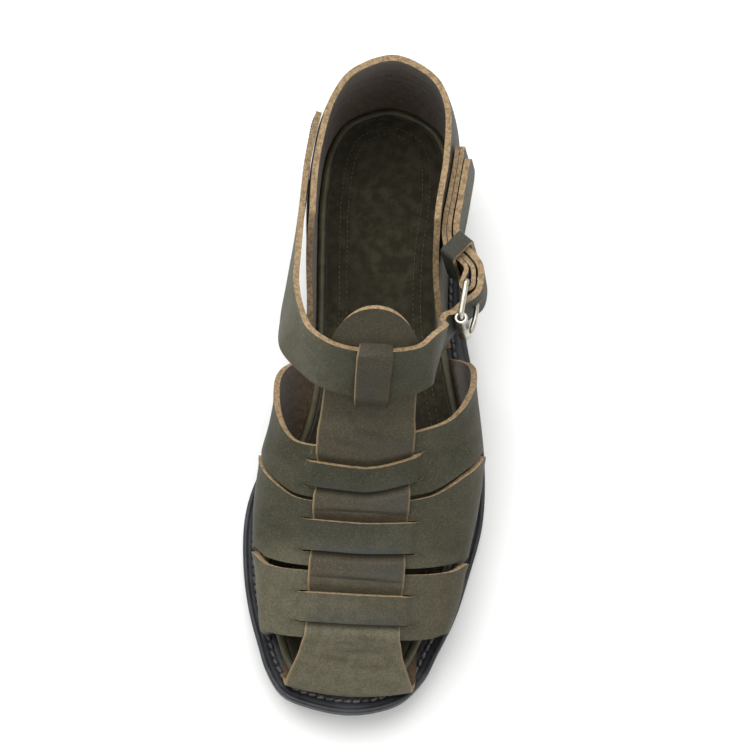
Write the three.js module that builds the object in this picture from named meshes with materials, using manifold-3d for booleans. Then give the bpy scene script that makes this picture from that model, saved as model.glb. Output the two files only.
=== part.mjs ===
import * as THREE from 'three';
import Module from 'manifold-3d';

const wasm = await Module();
wasm.setup();

// A left gurkha sandal. Lengths are millimetres and +Z is up.
// While it is built, x runs to the outer side of the foot, y runs from the toe tip to the heel
// and z is the height over the floor. The finished group is centred over its own outline.

// Driving sizes of the sole
const soleLength = 298;
const ballWidth = 110.5;
const outsoleThickness = 5;
const weltThickness = 4.2;
const footbedThickness = 5.7;
const weltMargin = 9;
const weltReach = 6;
const lipHeight = 0.5;
const rimWidth = 3.8;
const toeSpring = 11;
const heelRise = 16.4;
const liftThickness = 5;
const heelInset = 1.2;
const treadDepth = 1.2;
const treadWidth = 2.4;
const treadPitch = 9;

// Driving sizes of the leather
const leather = 2.8;
const instepHeight = 85;
const centreStrapWidth = 40.4;
const toeFoldWidth = 56;
const toeFoldRadius = 5.5;
const slitLength = 51;
const slitGap = 0.7;
const tongueSlitLength = 32;
const tongueBridgeWidth = 13.5;
const ankleStrapWidth = 24;
const counterHeight = 56;
const chapeThickness = 2;
const keeperWidth = 8;
const keeperThickness = 1.8;

// Driving sizes of the buckle
const buckleWire = 2.6;
const buckleDepth = 17;
const rollerDiameter = 6;
const rollerLength = 24.5;
const prongDiameter = 2.4;

const clearance = 0.3;

// Outline of the sole: at is a share of the length, medial and lateral are shares of the ball width
// and the two margins are shares of the welt margin
const outlineRows = [
  { at: 0.008, medial: 0.158, lateral: 0.131, medialMargin: 1.0, lateralMargin: 1.0 },
  { at: 0.024, medial: 0.277, lateral: 0.222, medialMargin: 1.0, lateralMargin: 1.0 },
  { at: 0.060, medial: 0.338, lateral: 0.306, medialMargin: 1.0, lateralMargin: 1.0 },
  { at: 0.100, medial: 0.380, lateral: 0.355, medialMargin: 1.0, lateralMargin: 1.0 },
  { at: 0.160, medial: 0.433, lateral: 0.425, medialMargin: 1.0, lateralMargin: 1.0 },
  { at: 0.230, medial: 0.467, lateral: 0.477, medialMargin: 1.0, lateralMargin: 1.0 },
  { at: 0.300, medial: 0.473, lateral: 0.519, medialMargin: 1.0, lateralMargin: 1.0 },
  { at: 0.360, medial: 0.438, lateral: 0.527, medialMargin: 1.0, lateralMargin: 1.0 },
  { at: 0.440, medial: 0.337, lateral: 0.510, medialMargin: 1.0, lateralMargin: 1.06 },
  { at: 0.530, medial: 0.275, lateral: 0.462, medialMargin: 0.69, lateralMargin: 1.17 },
  { at: 0.620, medial: 0.271, lateral: 0.407, medialMargin: 0.56, lateralMargin: 1.17 },
  { at: 0.720, medial: 0.288, lateral: 0.384, medialMargin: 0.61, lateralMargin: 1.0 },
  { at: 0.820, medial: 0.303, lateral: 0.389, medialMargin: 0.72, lateralMargin: 0.83 },
  { at: 0.910, medial: 0.276, lateral: 0.362, medialMargin: 0.78, lateralMargin: 0.78 },
  { at: 0.966, medial: 0.186, lateral: 0.271, medialMargin: 0.78, lateralMargin: 0.78 },
];
const heelTipSide = 0.043;

// Underside of the sole over the floor: shares of the toe spring and of the heel rise
const undersideRows = [
  { at: 0.000, spring: 1.000, rise: 0 },
  { at: 0.047, spring: 0.690, rise: 0 },
  { at: 0.100, spring: 0.390, rise: 0 },
  { at: 0.168, spring: 0.127, rise: 0 },
  { at: 0.242, spring: 0.000, rise: 0 },
  { at: 0.302, spring: 0.000, rise: 0 },
  { at: 0.362, spring: 0.000, rise: 0 },
  { at: 0.436, spring: 0, rise: 0.134 },
  { at: 0.554, spring: 0, rise: 0.463 },
  { at: 0.671, spring: 0, rise: 0.768 },
  { at: 0.755, spring: 0, rise: 0.902 },
  { at: 0.872, spring: 0, rise: 0.976 },
  { at: 1.000, spring: 0, rise: 1.000 },
];
const breastAt = 0.745;

// Last over the footbed: ridge and widest are heights in shares of the instep height, ridgeSide,
// medial and lateral are shares of the ball width, and fullness is the power of the section's arc
const lastRows = [
  { at: 0.040, ridge: 0.041, ridgeSide: 0.000, medial: 0.245, lateral: 0.220, widest: 0.047, fullness: 2.2 },
  { at: 0.074, ridge: 0.155, ridgeSide: 0.000, medial: 0.308, lateral: 0.303, widest: 0.094, fullness: 2.2 },
  { at: 0.117, ridge: 0.257, ridgeSide: 0.003, medial: 0.344, lateral: 0.356, widest: 0.141, fullness: 2.25 },
  { at: 0.174, ridge: 0.345, ridgeSide: 0.005, medial: 0.369, lateral: 0.404, widest: 0.165, fullness: 2.25 },
  { at: 0.242, ridge: 0.412, ridgeSide: 0.007, medial: 0.396, lateral: 0.431, widest: 0.176, fullness: 2.2 },
  { at: 0.309, ridge: 0.482, ridgeSide: 0.009, medial: 0.404, lateral: 0.462, widest: 0.188, fullness: 2.1 },
  { at: 0.376, ridge: 0.603, ridgeSide: 0.012, medial: 0.389, lateral: 0.478, widest: 0.212, fullness: 2.0 },
  { at: 0.419, ridge: 0.708, ridgeSide: 0.014, medial: 0.364, lateral: 0.465, widest: 0.235, fullness: 1.9 },
  { at: 0.463, ridge: 0.893, ridgeSide: 0.018, medial: 0.348, lateral: 0.443, widest: 0.259, fullness: 1.8 },
  { at: 0.503, ridge: 1.080, ridgeSide: 0.023, medial: 0.342, lateral: 0.422, widest: 0.282, fullness: 1.8 },
  { at: 0.544, ridge: 1.270, ridgeSide: 0.027, medial: 0.335, lateral: 0.398, widest: 0.306, fullness: 1.8 },
];

// Edges of the three cross bands in shares of the length, the front edge and the rear edge of each.
// girth is the share of the way from the ridge down to the welt, medial side below zero
const bandRows = [
  { girth: -1.00, toeFront: 0.117, toeRear: 0.232, midFront: 0.242, midRear: 0.379,
    topFront: 0.384, topRear: 0.560 },
  { girth: -0.68, toeFront: 0.111, toeRear: 0.227, midFront: 0.237, midRear: 0.372,
    topFront: 0.378, topRear: 0.480 },
  { girth: -0.55, toeFront: 0.104, toeRear: 0.203, midFront: 0.213, midRear: 0.337,
    topFront: 0.342, topRear: 0.440 },
  { girth: -0.35, toeFront: 0.101, toeRear: 0.194, midFront: 0.201, midRear: 0.298,
    topFront: 0.303, topRear: 0.377 },
  { girth: 0.00, toeFront: 0.102, toeRear: 0.192, midFront: 0.199, midRear: 0.294,
    topFront: 0.299, topRear: 0.378 },
  { girth: 0.35, toeFront: 0.104, toeRear: 0.196, midFront: 0.205, midRear: 0.310,
    topFront: 0.317, topRear: 0.411 },
  { girth: 0.55, toeFront: 0.110, toeRear: 0.207, midFront: 0.218, midRear: 0.356,
    topFront: 0.364, topRear: 0.468 },
  { girth: 0.68, toeFront: 0.125, toeRear: 0.227, midFront: 0.237, midRear: 0.388,
    topFront: 0.396, topRear: 0.507 },
  { girth: 1.00, toeFront: 0.134, toeRear: 0.235, midFront: 0.245, midRear: 0.396,
    topFront: 0.406, topRear: 0.568 },
];

// The two slits of each band: their place on the ridge and how far their ends lie behind it,
// all in shares of the length
const slitRows = {
  toe: [
    { at: 0.1215, medial: 0.001, lateral: 0.003 },
    { at: 0.1634, medial: 0.001, lateral: 0.002 },
  ],
  mid: [
    { at: 0.2181, medial: 0.004, lateral: 0.007 },
    { at: 0.2644, medial: 0.004, lateral: 0.008 },
  ],
  top: [
    { at: 0.3077, medial: 0.008, lateral: 0.027 },
    { at: 0.3433, medial: 0.009, lateral: 0.028 },
  ],
};

// Free run of the centre strap: widths of its flare in shares of the toe fold's width
const flareRows = [
  { at: 0.030, width: 1.000 },
  { at: 0.047, width: 0.935 },
  { at: 0.060, width: 0.885 },
  { at: 0.080, width: 0.810 },
  { at: 0.100, width: 0.755 },
  { at: 0.121, width: 0.725 },
];
const roundEndAt = 0.521;
const tongueSlitAt = 0.4605;
const tongueSlitSide = 0.045;

// Path of the ankle strap where it hangs free: side in shares of the ball width, at in shares of
// the length, height in shares of the instep height over the footbed, and the way that its width
// points as side, back and up
const medialAnkleRows = [
  { side: -0.321, at: 0.638, height: 0.487, acrossSide: 0.16, acrossBack: 0.21, acrossUp: 0.96 },
  { side: -0.325, at: 0.576, height: 0.605, acrossSide: 0.23, acrossBack: 0.46, acrossUp: 0.86 },
  { side: -0.303, at: 0.521, height: 0.738, acrossSide: 0.30, acrossBack: 0.56, acrossUp: 0.77 },
  { side: -0.238, at: 0.482, height: 0.832, acrossSide: 0.28, acrossBack: 0.56, acrossUp: 0.78 },
];
const lateralAnkleRows = [
  { side: 0.255, at: 0.476, height: 0.880, acrossSide: 0.07, acrossBack: 0.70, acrossUp: 0.71 },
  { side: 0.276, at: 0.500, height: 0.760, acrossSide: 0.18, acrossBack: 0.80, acrossUp: 0.56 },
  { side: 0.276, at: 0.528, height: 0.560, acrossSide: 0.12, acrossBack: 0.72, acrossUp: 0.67 },
  { side: 0.294, at: 0.552, height: 0.462, acrossSide: 0.02, acrossBack: 0.38, acrossUp: 0.92 },
];
const ankleCrossingAt = 0.4600;
const ankleCrossingSweep = 0.0125;

// Heel counter: how far its wall leans in from the footbed, in shares of its height, at three
// heights, for a place on the way round from the outer front edge to the inner front edge
const counterRows = [
  { way: 0.00, low: 0.070, middle: 0.130, high: 0.135, height: 0.86 },
  { way: 0.20, low: 0.040, middle: 0.095, high: 0.130, height: 0.87 },
  { way: 0.38, low: -0.020, middle: 0.020, high: 0.100, height: 0.95 },
  { way: 0.50, low: -0.040, middle: -0.010, high: 0.085, height: 1.00 },
  { way: 0.62, low: -0.030, middle: 0.000, high: 0.070, height: 0.95 },
  { way: 0.80, low: -0.020, middle: -0.030, high: 0.000, height: 0.87 },
  { way: 1.00, low: -0.020, middle: -0.035, high: -0.020, height: 0.86 },
];
const counterFrontAt = 0.578;
const counterSlant = 0.30;

const leatherLook = { color: 0x53523f, roughness: 0.62, metalness: 0 };
const suedeLook = { color: 0x35321f, roughness: 0.95, metalness: 0 };
const rimLook = { color: 0x45442f, roughness: 0.6, metalness: 0 };
const weltLook = { color: 0x26282d, roughness: 0.55, metalness: 0 };
const soleLook = { color: 0x2c2c2d, roughness: 0.7, metalness: 0 };
const metalLook = { color: 0xb9b8ac, roughness: 0.32, metalness: 1 };

const shoe = new THREE.Group();
shoe.name = 'gurkha_sandal';

// Smooth curve through one column of a table
function along(rows, key, column, value) {
  const last = rows.length - 1;
  const q = Math.min(Math.max(value, rows[0][key]), rows[last][key]);
  let i = 0;
  while (i < last - 1 && rows[i + 1][key] < q) i += 1;
  const slope = (k) => {
    const before = rows[Math.max(k - 1, 0)];
    const after = rows[Math.min(k + 1, last)];
    return (after[column] - before[column]) / (after[key] - before[key]);
  };
  const span = rows[i + 1][key] - rows[i][key];
  const t = (q - rows[i][key]) / span;
  const t2 = t * t;
  const t3 = t2 * t;
  return (2 * t3 - 3 * t2 + 1) * rows[i][column] + (t3 - 2 * t2 + t) * span * slope(i)
    + (3 * t2 - 2 * t3) * rows[i + 1][column] + (t3 - t2) * span * slope(i + 1);
}

const mix = (a, b, t) => a + (b - a) * t;
const smooth = (t) => {
  const c = Math.min(Math.max(t, 0), 1);
  return c * c * (3 - 2 * c);
};
const vec = (x, y, z) => new THREE.Vector3(x, y, z);

// Closed body from rows of loops. The rows join in a ring, or the first and last loop are capped
// by strips between the vertices that pair up across the loop
function loft(rows, { ring = false, pairFrom = 1 } = {}) {
  const count = rows[0].length;
  const positions = rows.flat().flatMap((p) => [p.x, p.y, p.z]);
  const index = [];
  const steps = ring ? rows.length : rows.length - 1;
  for (let i = 0; i < steps; i += 1) {
    const next = (i + 1) % rows.length;
    for (let j = 0; j < count; j += 1) {
      const k = (j + 1) % count;
      const a = i * count + j;
      const b = i * count + k;
      const c = next * count + k;
      const d = next * count + j;
      index.push(a, b, c, a, c, d);
    }
  }
  if (!ring) {
    const other = (j) => (count + pairFrom - 1 - j) % count;
    for (const [start, flip] of [[0, true], [(rows.length - 1) * count, false]]) {
      for (let j = 0; j < Math.floor((count + pairFrom - 1) / 2); j += 1) {
        const a = j;
        const b = j + 1;
        const c = other(j + 1);
        const d = other(j);
        const faces = [[a, b, c], [a, c, d]];
        for (const face of faces) {
          if (new Set(face).size < 3) continue;
          const [p, q, r] = flip ? [...face].reverse() : face;
          index.push(start + p, start + q, start + r);
        }
      }
    }
  }
  const geometry = new THREE.BufferGeometry();
  geometry.setAttribute('position', new THREE.Float32BufferAttribute(positions, 3));
  geometry.setIndex(index);
  return facingOut(geometry);
}

function facingOut(geometry) {
  const p = geometry.attributes.position;
  const index = geometry.index.array;
  const a = new THREE.Vector3();
  const b = new THREE.Vector3();
  const c = new THREE.Vector3();
  let volume = 0;
  for (let i = 0; i < index.length; i += 3) {
    a.fromBufferAttribute(p, index[i]);
    b.fromBufferAttribute(p, index[i + 1]);
    c.fromBufferAttribute(p, index[i + 2]);
    volume += a.dot(b.cross(c));
  }
  if (volume < 0) {
    const flipped = Array.from(index);
    for (let i = 0; i < flipped.length; i += 3) [flipped[i], flipped[i + 1]] = [flipped[i + 1], flipped[i]];
    geometry.setIndex(flipped);
  }
  return geometry;
}

// Solid sheet between an inner and an outer grid of points
function sheet(outer, inner) {
  return loft(outer.map((row, i) => [...row, ...[...inner[i]].reverse()]), { pairFrom: 0 });
}

const solid = (geometry) => new wasm.Manifold(new wasm.Mesh({
  numProp: 3,
  vertProperties: new Float32Array(geometry.attributes.position.array),
  triVerts: new Uint32Array(geometry.index.array),
}));

function geometryOf(body) {
  const mesh = body.getMesh();
  const geometry = new THREE.BufferGeometry();
  geometry.setAttribute('position', new THREE.Float32BufferAttribute(mesh.vertProperties, 3));
  geometry.setIndex(Array.from(mesh.triVerts));
  return geometry;
}

function add(name, geometry, look) {
  const mesh = new THREE.Mesh(geometry, new THREE.MeshStandardMaterial(look));
  mesh.name = name;
  shoe.add(mesh);
}

// Sole

const underside = (y) => Math.max(0, along(undersideRows, 'at', 'spring', y / soleLength) * toeSpring
  + along(undersideRows, 'at', 'rise', y / soleLength) * heelRise);
const weltBase = outsoleThickness + clearance;
const weltTop = weltBase + weltThickness;
const footbedBase = weltTop + clearance;
const footbedTop = footbedBase + footbedThickness;

const stationsPerRow = 2;
const sideStations = (outlineRows.length + 1) * stationsPerRow;

function sideCurve(side) {
  const key = side < 0 ? 'medial' : 'lateral';
  const opposite = side < 0 ? 'lateral' : 'medial';
  const point = (row, column, sign) => vec(sign * row[column] * ballWidth, row.at * soleLength, 0);
  const first = outlineRows[0];
  const last = outlineRows[outlineRows.length - 1];
  const points = [
    point(first, opposite, -side),
    vec(0, 0, 0),
    ...outlineRows.map((row) => point(row, key, side)),
    vec(heelTipSide * ballWidth, soleLength, 0),
    point(last, opposite, -side),
  ];
  return new THREE.CatmullRomCurve3(points, false, 'centripetal');
}

const sideCurves = { '-1': sideCurve(-1), 1: sideCurve(1) };

// Points of the outline from the toe tip down the outer side to the heel and back, moved in by
// an inset along the outline's own normal
function outlineLoop(inset) {
  const loop = [];
  const total = 2 * sideStations;
  for (let i = 0; i < total; i += 1) {
    const side = i <= sideStations ? 1 : -1;
    const station = side > 0 ? i : total - i;
    const curve = sideCurves[side];
    const t = (1 + station / stationsPerRow) / (outlineRows.length + 3);
    const p = curve.getPoint(t);
    const tangent = curve.getTangent(t);
    const inward = vec(-tangent.y, tangent.x, 0).multiplyScalar(side).normalize();
    loop.push(p.addScaledVector(inward, typeof inset === 'function' ? inset(p.y, side) : inset));
  }
  return loop;
}

const margin = (y, side) => weltMargin
  * along(outlineRows, 'at', side < 0 ? 'medialMargin' : 'lateralMargin', y / soleLength);

const layer = (inset, height) => outlineLoop(inset).map((p) => vec(p.x, p.y, underside(p.y) + height));

function buildOutsole() {
  const rounding = 1.2;
  const body = loft([
    layer(3 * rounding, 0),
    layer(rounding, 0.1 * rounding),
    layer(0.2 * rounding, rounding),
    layer(0, outsoleThickness - 0.6),
    layer(0.5 * rounding, outsoleThickness),
  ]);
  let tread = solid(body);
  const grooveLength = ballWidth * 1.2;
  for (let y = 0.1 * soleLength; y < 0.42 * soleLength; y += treadPitch) {
    const groove = new THREE.BoxGeometry(grooveLength, treadWidth, 2 * treadDepth);
    groove.deleteAttribute('normal');
    groove.deleteAttribute('uv');
    groove.translate(0, y, underside(y));
    tread = tread.subtract(solid(merged(groove)));
  }
  return geometryOf(tread);
}

// Box and other stock geometries with their shared corners joined
function merged(geometry) {
  const p = geometry.attributes.position;
  const seen = new Map();
  const positions = [];
  const remap = [];
  for (let i = 0; i < p.count; i += 1) {
    const key = [p.getX(i), p.getY(i), p.getZ(i)].map((v) => v.toFixed(4)).join(' ');
    if (!seen.has(key)) {
      seen.set(key, positions.length / 3);
      positions.push(p.getX(i), p.getY(i), p.getZ(i));
    }
    remap.push(seen.get(key));
  }
  const source = geometry.index ? Array.from(geometry.index.array) : remap.map((v, i) => i);
  const index = [];
  for (let i = 0; i < source.length; i += 3) {
    const face = [remap[source[i]], remap[source[i + 1]], remap[source[i + 2]]];
    if (new Set(face).size === 3) index.push(...face);
  }
  const clean = new THREE.BufferGeometry();
  clean.setAttribute('position', new THREE.Float32BufferAttribute(positions, 3));
  clean.setIndex(index);
  return facingOut(clean);
}

function buildWelt() {
  const lip = 2.4;
  const innerEdge = (y, side) => margin(y, side) + weltReach;
  return loft([
    layer(0, weltBase),
    layer(0, weltTop - lipHeight),
    layer(0.5, weltTop),
    layer(0.6 * lip, weltTop),
    layer(lip, weltTop - lipHeight),
    layer((y, side) => margin(y, side) - leather, weltTop - lipHeight),
    layer((y, side) => margin(y, side) - leather + 0.4, weltTop),
    layer(innerEdge, weltTop),
    layer(innerEdge, weltBase),
  ], { ring: true });
}

function buildFootbedRim() {
  const edge = (extra) => (y, side) => margin(y, side) + extra;
  const crown = 0.4 * footbedThickness;
  return loft([
    layer(edge(0), footbedBase),
    layer(edge(0), footbedTop - crown),
    layer(edge(0.3 * rimWidth), footbedTop - 0.3),
    layer(edge(0.65 * rimWidth), footbedTop),
    layer(edge(rimWidth), footbedTop - 0.5),
    layer(edge(rimWidth), footbedBase),
  ], { ring: true });
}

function buildFootbed() {
  const edge = (extra) => (y, side) => margin(y, side) + rimWidth + clearance + extra;
  return loft([
    layer(edge(0), footbedBase),
    layer(edge(0), footbedTop - 1.3),
    layer(edge(0.8), footbedTop - 0.6),
  ]);
}

// Heel from the breast back: loops of the outline behind the breast line between two heights
function heelBody(levels) {
  const firstStation = outlineLoop(0).findIndex((p) => p.y >= breastAt * soleLength);
  const rows = levels.map(({ inset, height }) => {
    const loop = outlineLoop(inset);
    const part = loop.slice(firstStation, loop.length - firstStation + 1);
    for (const end of [0, part.length - 1]) part[end].y = breastAt * soleLength;
    return part.map((p) => vec(p.x, p.y, height(p.y)));
  });
  return loft(rows, { pairFrom: 0 });
}

function buildHeel() {
  return heelBody([
    { inset: heelInset, height: () => liftThickness + clearance },
    { inset: 0.4 * heelInset, height: (y) => mix(liftThickness, underside(y), 0.6) },
    { inset: 0.3 * heelInset, height: (y) => underside(y) - clearance },
  ]);
}

function buildHeelLift() {
  return heelBody([
    { inset: heelInset + 0.4, height: () => 0 },
    { inset: heelInset, height: () => 0.5 },
    { inset: heelInset, height: () => liftThickness },
  ]);
}

// Takes off what would reach into the welt or the footbed, with the clearance to both
function clearOfSole(body) {
  const wellOutside = -3 * leather;
  const wellUnder = -2 * outsoleThickness;
  const belowWelt = loft([layer(wellOutside, wellUnder), layer(wellOutside, weltTop + clearance)]);
  const rimEdge = (y, side) => margin(y, side) - clearance;
  const insideRim = loft([layer(rimEdge, weltBase), layer(rimEdge, footbedTop + clearance)]);
  return body.subtract(solid(belowWelt)).subtract(solid(insideRim));
}

// Last: every strap lies on it

const lastWidthSteps = 20;
const lastWallSteps = 7;

function lastHalf(y, side) {
  const at = y / soleLength;
  const read = (column) => along(lastRows, 'at', column, at);
  const floor = underside(y) + weltTop + clearance;
  const top = underside(y) + footbedTop + read('ridge') * instepHeight;
  const widest = underside(y) + footbedTop + read('widest') * instepHeight;
  const ridgeX = read('ridgeSide') * ballWidth;
  const widestX = side * read(side < 0 ? 'medial' : 'lateral') * ballWidth;
  const soleHalf = along([{ at: 0, medial: 0, lateral: 0 }, ...outlineRows], 'at',
    side < 0 ? 'medial' : 'lateral', at) * ballWidth;
  const footX = side * (soleHalf - margin(y, side) + clearance);
  const power = 2 / read('fullness');
  const points = [];
  for (let i = 0; i <= lastWidthSteps; i += 1) {
    const turn = (i / lastWidthSteps) * Math.PI / 2;
    points.push([
      mix(ridgeX, widestX, Math.abs(Math.sin(turn)) ** power),
      mix(widest, top, Math.abs(Math.cos(turn)) ** power),
    ]);
  }
  for (let i = 1; i <= lastWallSteps; i += 1) {
    const turn = (i / lastWallSteps) * Math.PI / 2;
    points.push([mix(widestX, footX, 1 - Math.cos(turn)), mix(widest, floor, Math.sin(turn))]);
  }
  const run = [0];
  for (let i = 1; i < points.length; i += 1) {
    run.push(run[i - 1] + Math.hypot(points[i][0] - points[i - 1][0], points[i][1] - points[i - 1][1]));
  }
  return { points, run, total: run[run.length - 1] };
}

// Point of the last at a distance over the leather from the ridge line, inner side below zero
function onLast(y, distance) {
  const half = lastHalf(y, distance < 0 ? -1 : 1);
  const q = Math.min(Math.abs(distance), half.total);
  let i = 0;
  while (i < half.run.length - 2 && half.run[i + 1] < q) i += 1;
  const t = (q - half.run[i]) / (half.run[i + 1] - half.run[i]);
  const [a, b] = [half.points[i], half.points[i + 1]];
  return vec(mix(a[0], b[0], t), y, mix(a[1], b[1], t));
}

function lastNormal(y, distance) {
  const step = 1.2;
  const acrossStep = Math.sign(distance || 1) * step;
  const inner = onLast(y, distance - acrossStep);
  const outer = onLast(y, distance + acrossStep);
  const around = outer.sub(inner).multiplyScalar(Math.sign(acrossStep));
  const front = onLast(y - step, distance);
  const back = onLast(y + step, distance);
  return around.cross(back.sub(front)).normalize();
}

const lifted = (y, distance, height) => onLast(y, distance)
  .addScaledVector(lastNormal(y, distance), height);

const slitHalf = slitLength / 2;
const strapHalf = centreStrapWidth / 2;
const slitY = (slit, distance) => soleLength * (slit.at
  + (distance < 0 ? slit.medial : slit.lateral) * Math.abs(distance / slitHalf) ** 1.6);

const sink = 0.35;
const bridgeLift = leather - sink;

// How high the bridge between the two slits stands, full over the centre strap and down at its ends
const bridgeRise = (distance) => bridgeLift
  * (1 - smooth((Math.abs(distance) - strapHalf - 0.6) / (slitHalf - strapHalf - 0.6)));

const wingSteps = [0.14, 0.28, 0.42, 0.55, 0.7, 0.85, 1];
const centreDistances = [-1, -0.8, -0.42, 0, 0.42, 0.8, 1].map((v) => v * slitHalf);

function buildBand(name) {
  const [frontSlit, rearSlit] = slitRows[name];
  const rows = [
    ...[...wingSteps].reverse().map((wing) => ({ side: -1, wing })),
    ...centreDistances.map((distance) => ({ side: distance < 0 ? -1 : 1, distance })),
    ...wingSteps.map((wing) => ({ side: 1, wing })),
  ];
  const distanceAt = (row, y) => row.distance ?? row.side * mix(slitHalf, lastHalf(y, row.side).total, row.wing);
  const edgeAt = (row, edge) => {
    let y = rearSlit.at * soleLength;
    for (let pass = 0; pass < 4; pass += 1) {
      const girth = distanceAt(row, y) / lastHalf(y, row.side).total;
      y = along(bandRows, 'girth', name + edge, girth) * soleLength;
    }
    return y;
  };
  const outer = [];
  const inner = [];
  for (const row of rows) {
    const front = edgeAt(row, 'Front');
    const rear = edgeAt(row, 'Rear');
    const central = row.distance !== undefined;
    const [b, a] = [frontSlit, rearSlit].map((slit) => slitY(slit, row.distance ?? 0));
    const ys = central
      ? [front, b - slitGap / 2, b + slitGap / 2, a - slitGap / 2, a + slitGap / 2, rear]
      : [0, 0.25, 0.29, 0.71, 0.75, 1].map((t) => mix(front, rear, t));
    const rise = central ? bridgeRise(row.distance) : 0;
    const lifts = [0, 0, rise, rise, 0, 0];
    outer.push(ys.map((y, i) => lifted(y, distanceAt(row, y), lifts[i] + leather)));
    inner.push(ys.map((y, i) => lifted(y, distanceAt(row, y), lifts[i])));
  }
  let band = solid(sheet(outer, inner));
  for (const slit of [frontSlit, rearSlit]) {
    const cutRows = [-1, -0.5, 0, 0.5, 1].map((v) => v * slitHalf * 0.99);
    const cut = (height) => cutRows.map((distance) => [-1, 1]
      .map((edge) => lifted(slitY(slit, distance) + edge * slitGap / 2, distance, height)));
    band = band.subtract(solid(sheet(cut(3 * leather), cut(-leather))));
  }
  return band;
}

// Rows of the centre strap from the toe fold to its round end. Each row has a line that it
// follows, how far behind it it lies and how high it is lifted off the last
function strapRows() {
  const rows = [];
  const free = (at, lift) => rows.push({ y: () => at * soleLength, lift });
  const slope = 1.1;
  const overBand = 0.9 * leather;
  free(0.060, 0);
  free(0.080, 0);
  for (const name of ['toe', 'mid', 'top']) {
    const [frontSlit, rearSlit] = slitRows[name];
    const nearFront = (offset, lift) => rows.push({ y: (d) => slitY(frontSlit, d) + offset, lift });
    const nearRear = (offset, lift) => rows.push({ y: (d) => slitY(rearSlit, d) + offset, lift });
    if (name === 'toe') {
      nearFront(-2.6 * leather, 0.5 * leather);
      nearFront(-1.6 * leather, overBand);
    }
    nearFront(-slope, overBand);
    nearFront(slope, sink);
    rows.push({ y: (d) => mix(slitY(frontSlit, d), slitY(rearSlit, d), 0.5), lift: sink });
    nearRear(-slope, sink);
    nearRear(slope, 0.4 * leather);
    nearRear(1.6 * leather, overBand);
    nearRear(2.9 * leather, overBand);
  }
  const lastSlit = slitRows.top[1];
  const settle = [[0.050, 0.5], [0.070, 0.1], [0.085, 0]];
  for (const [behind, lift] of settle) {
    rows.push({ y: (d) => mix(slitY(lastSlit, d), lastSlit.at * soleLength, behind / 0.085)
      + behind * soleLength, lift: lift * leather });
  }
  return rows;
}

const tongueHalf = tongueBridgeWidth / 2;
const tongueMiddle = tongueSlitSide * strapHalf;
const tongueLift = leather + 5 * clearance + leather;

// Place that lies a given walk behind another over the leather, at one distance from the ridge
function walkBack(from, walk, distance = 0) {
  const step = Math.sign(walk) * 0.25;
  let y = from;
  let walked = 0;
  while (walked < Math.abs(walk)) {
    walked += onLast(y, distance).distanceTo(onLast(y + step, distance));
    y += step;
  }
  return y;
}

const tongueSlitFront = walkBack(tongueSlitAt * soleLength, -tongueSlitLength / 2);
const tongueSlitRear = walkBack(tongueSlitAt * soleLength, tongueSlitLength / 2);
const roundEndTip = roundEndAt * soleLength;
const roundEndStart = walkBack(roundEndTip, -strapHalf);

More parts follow.
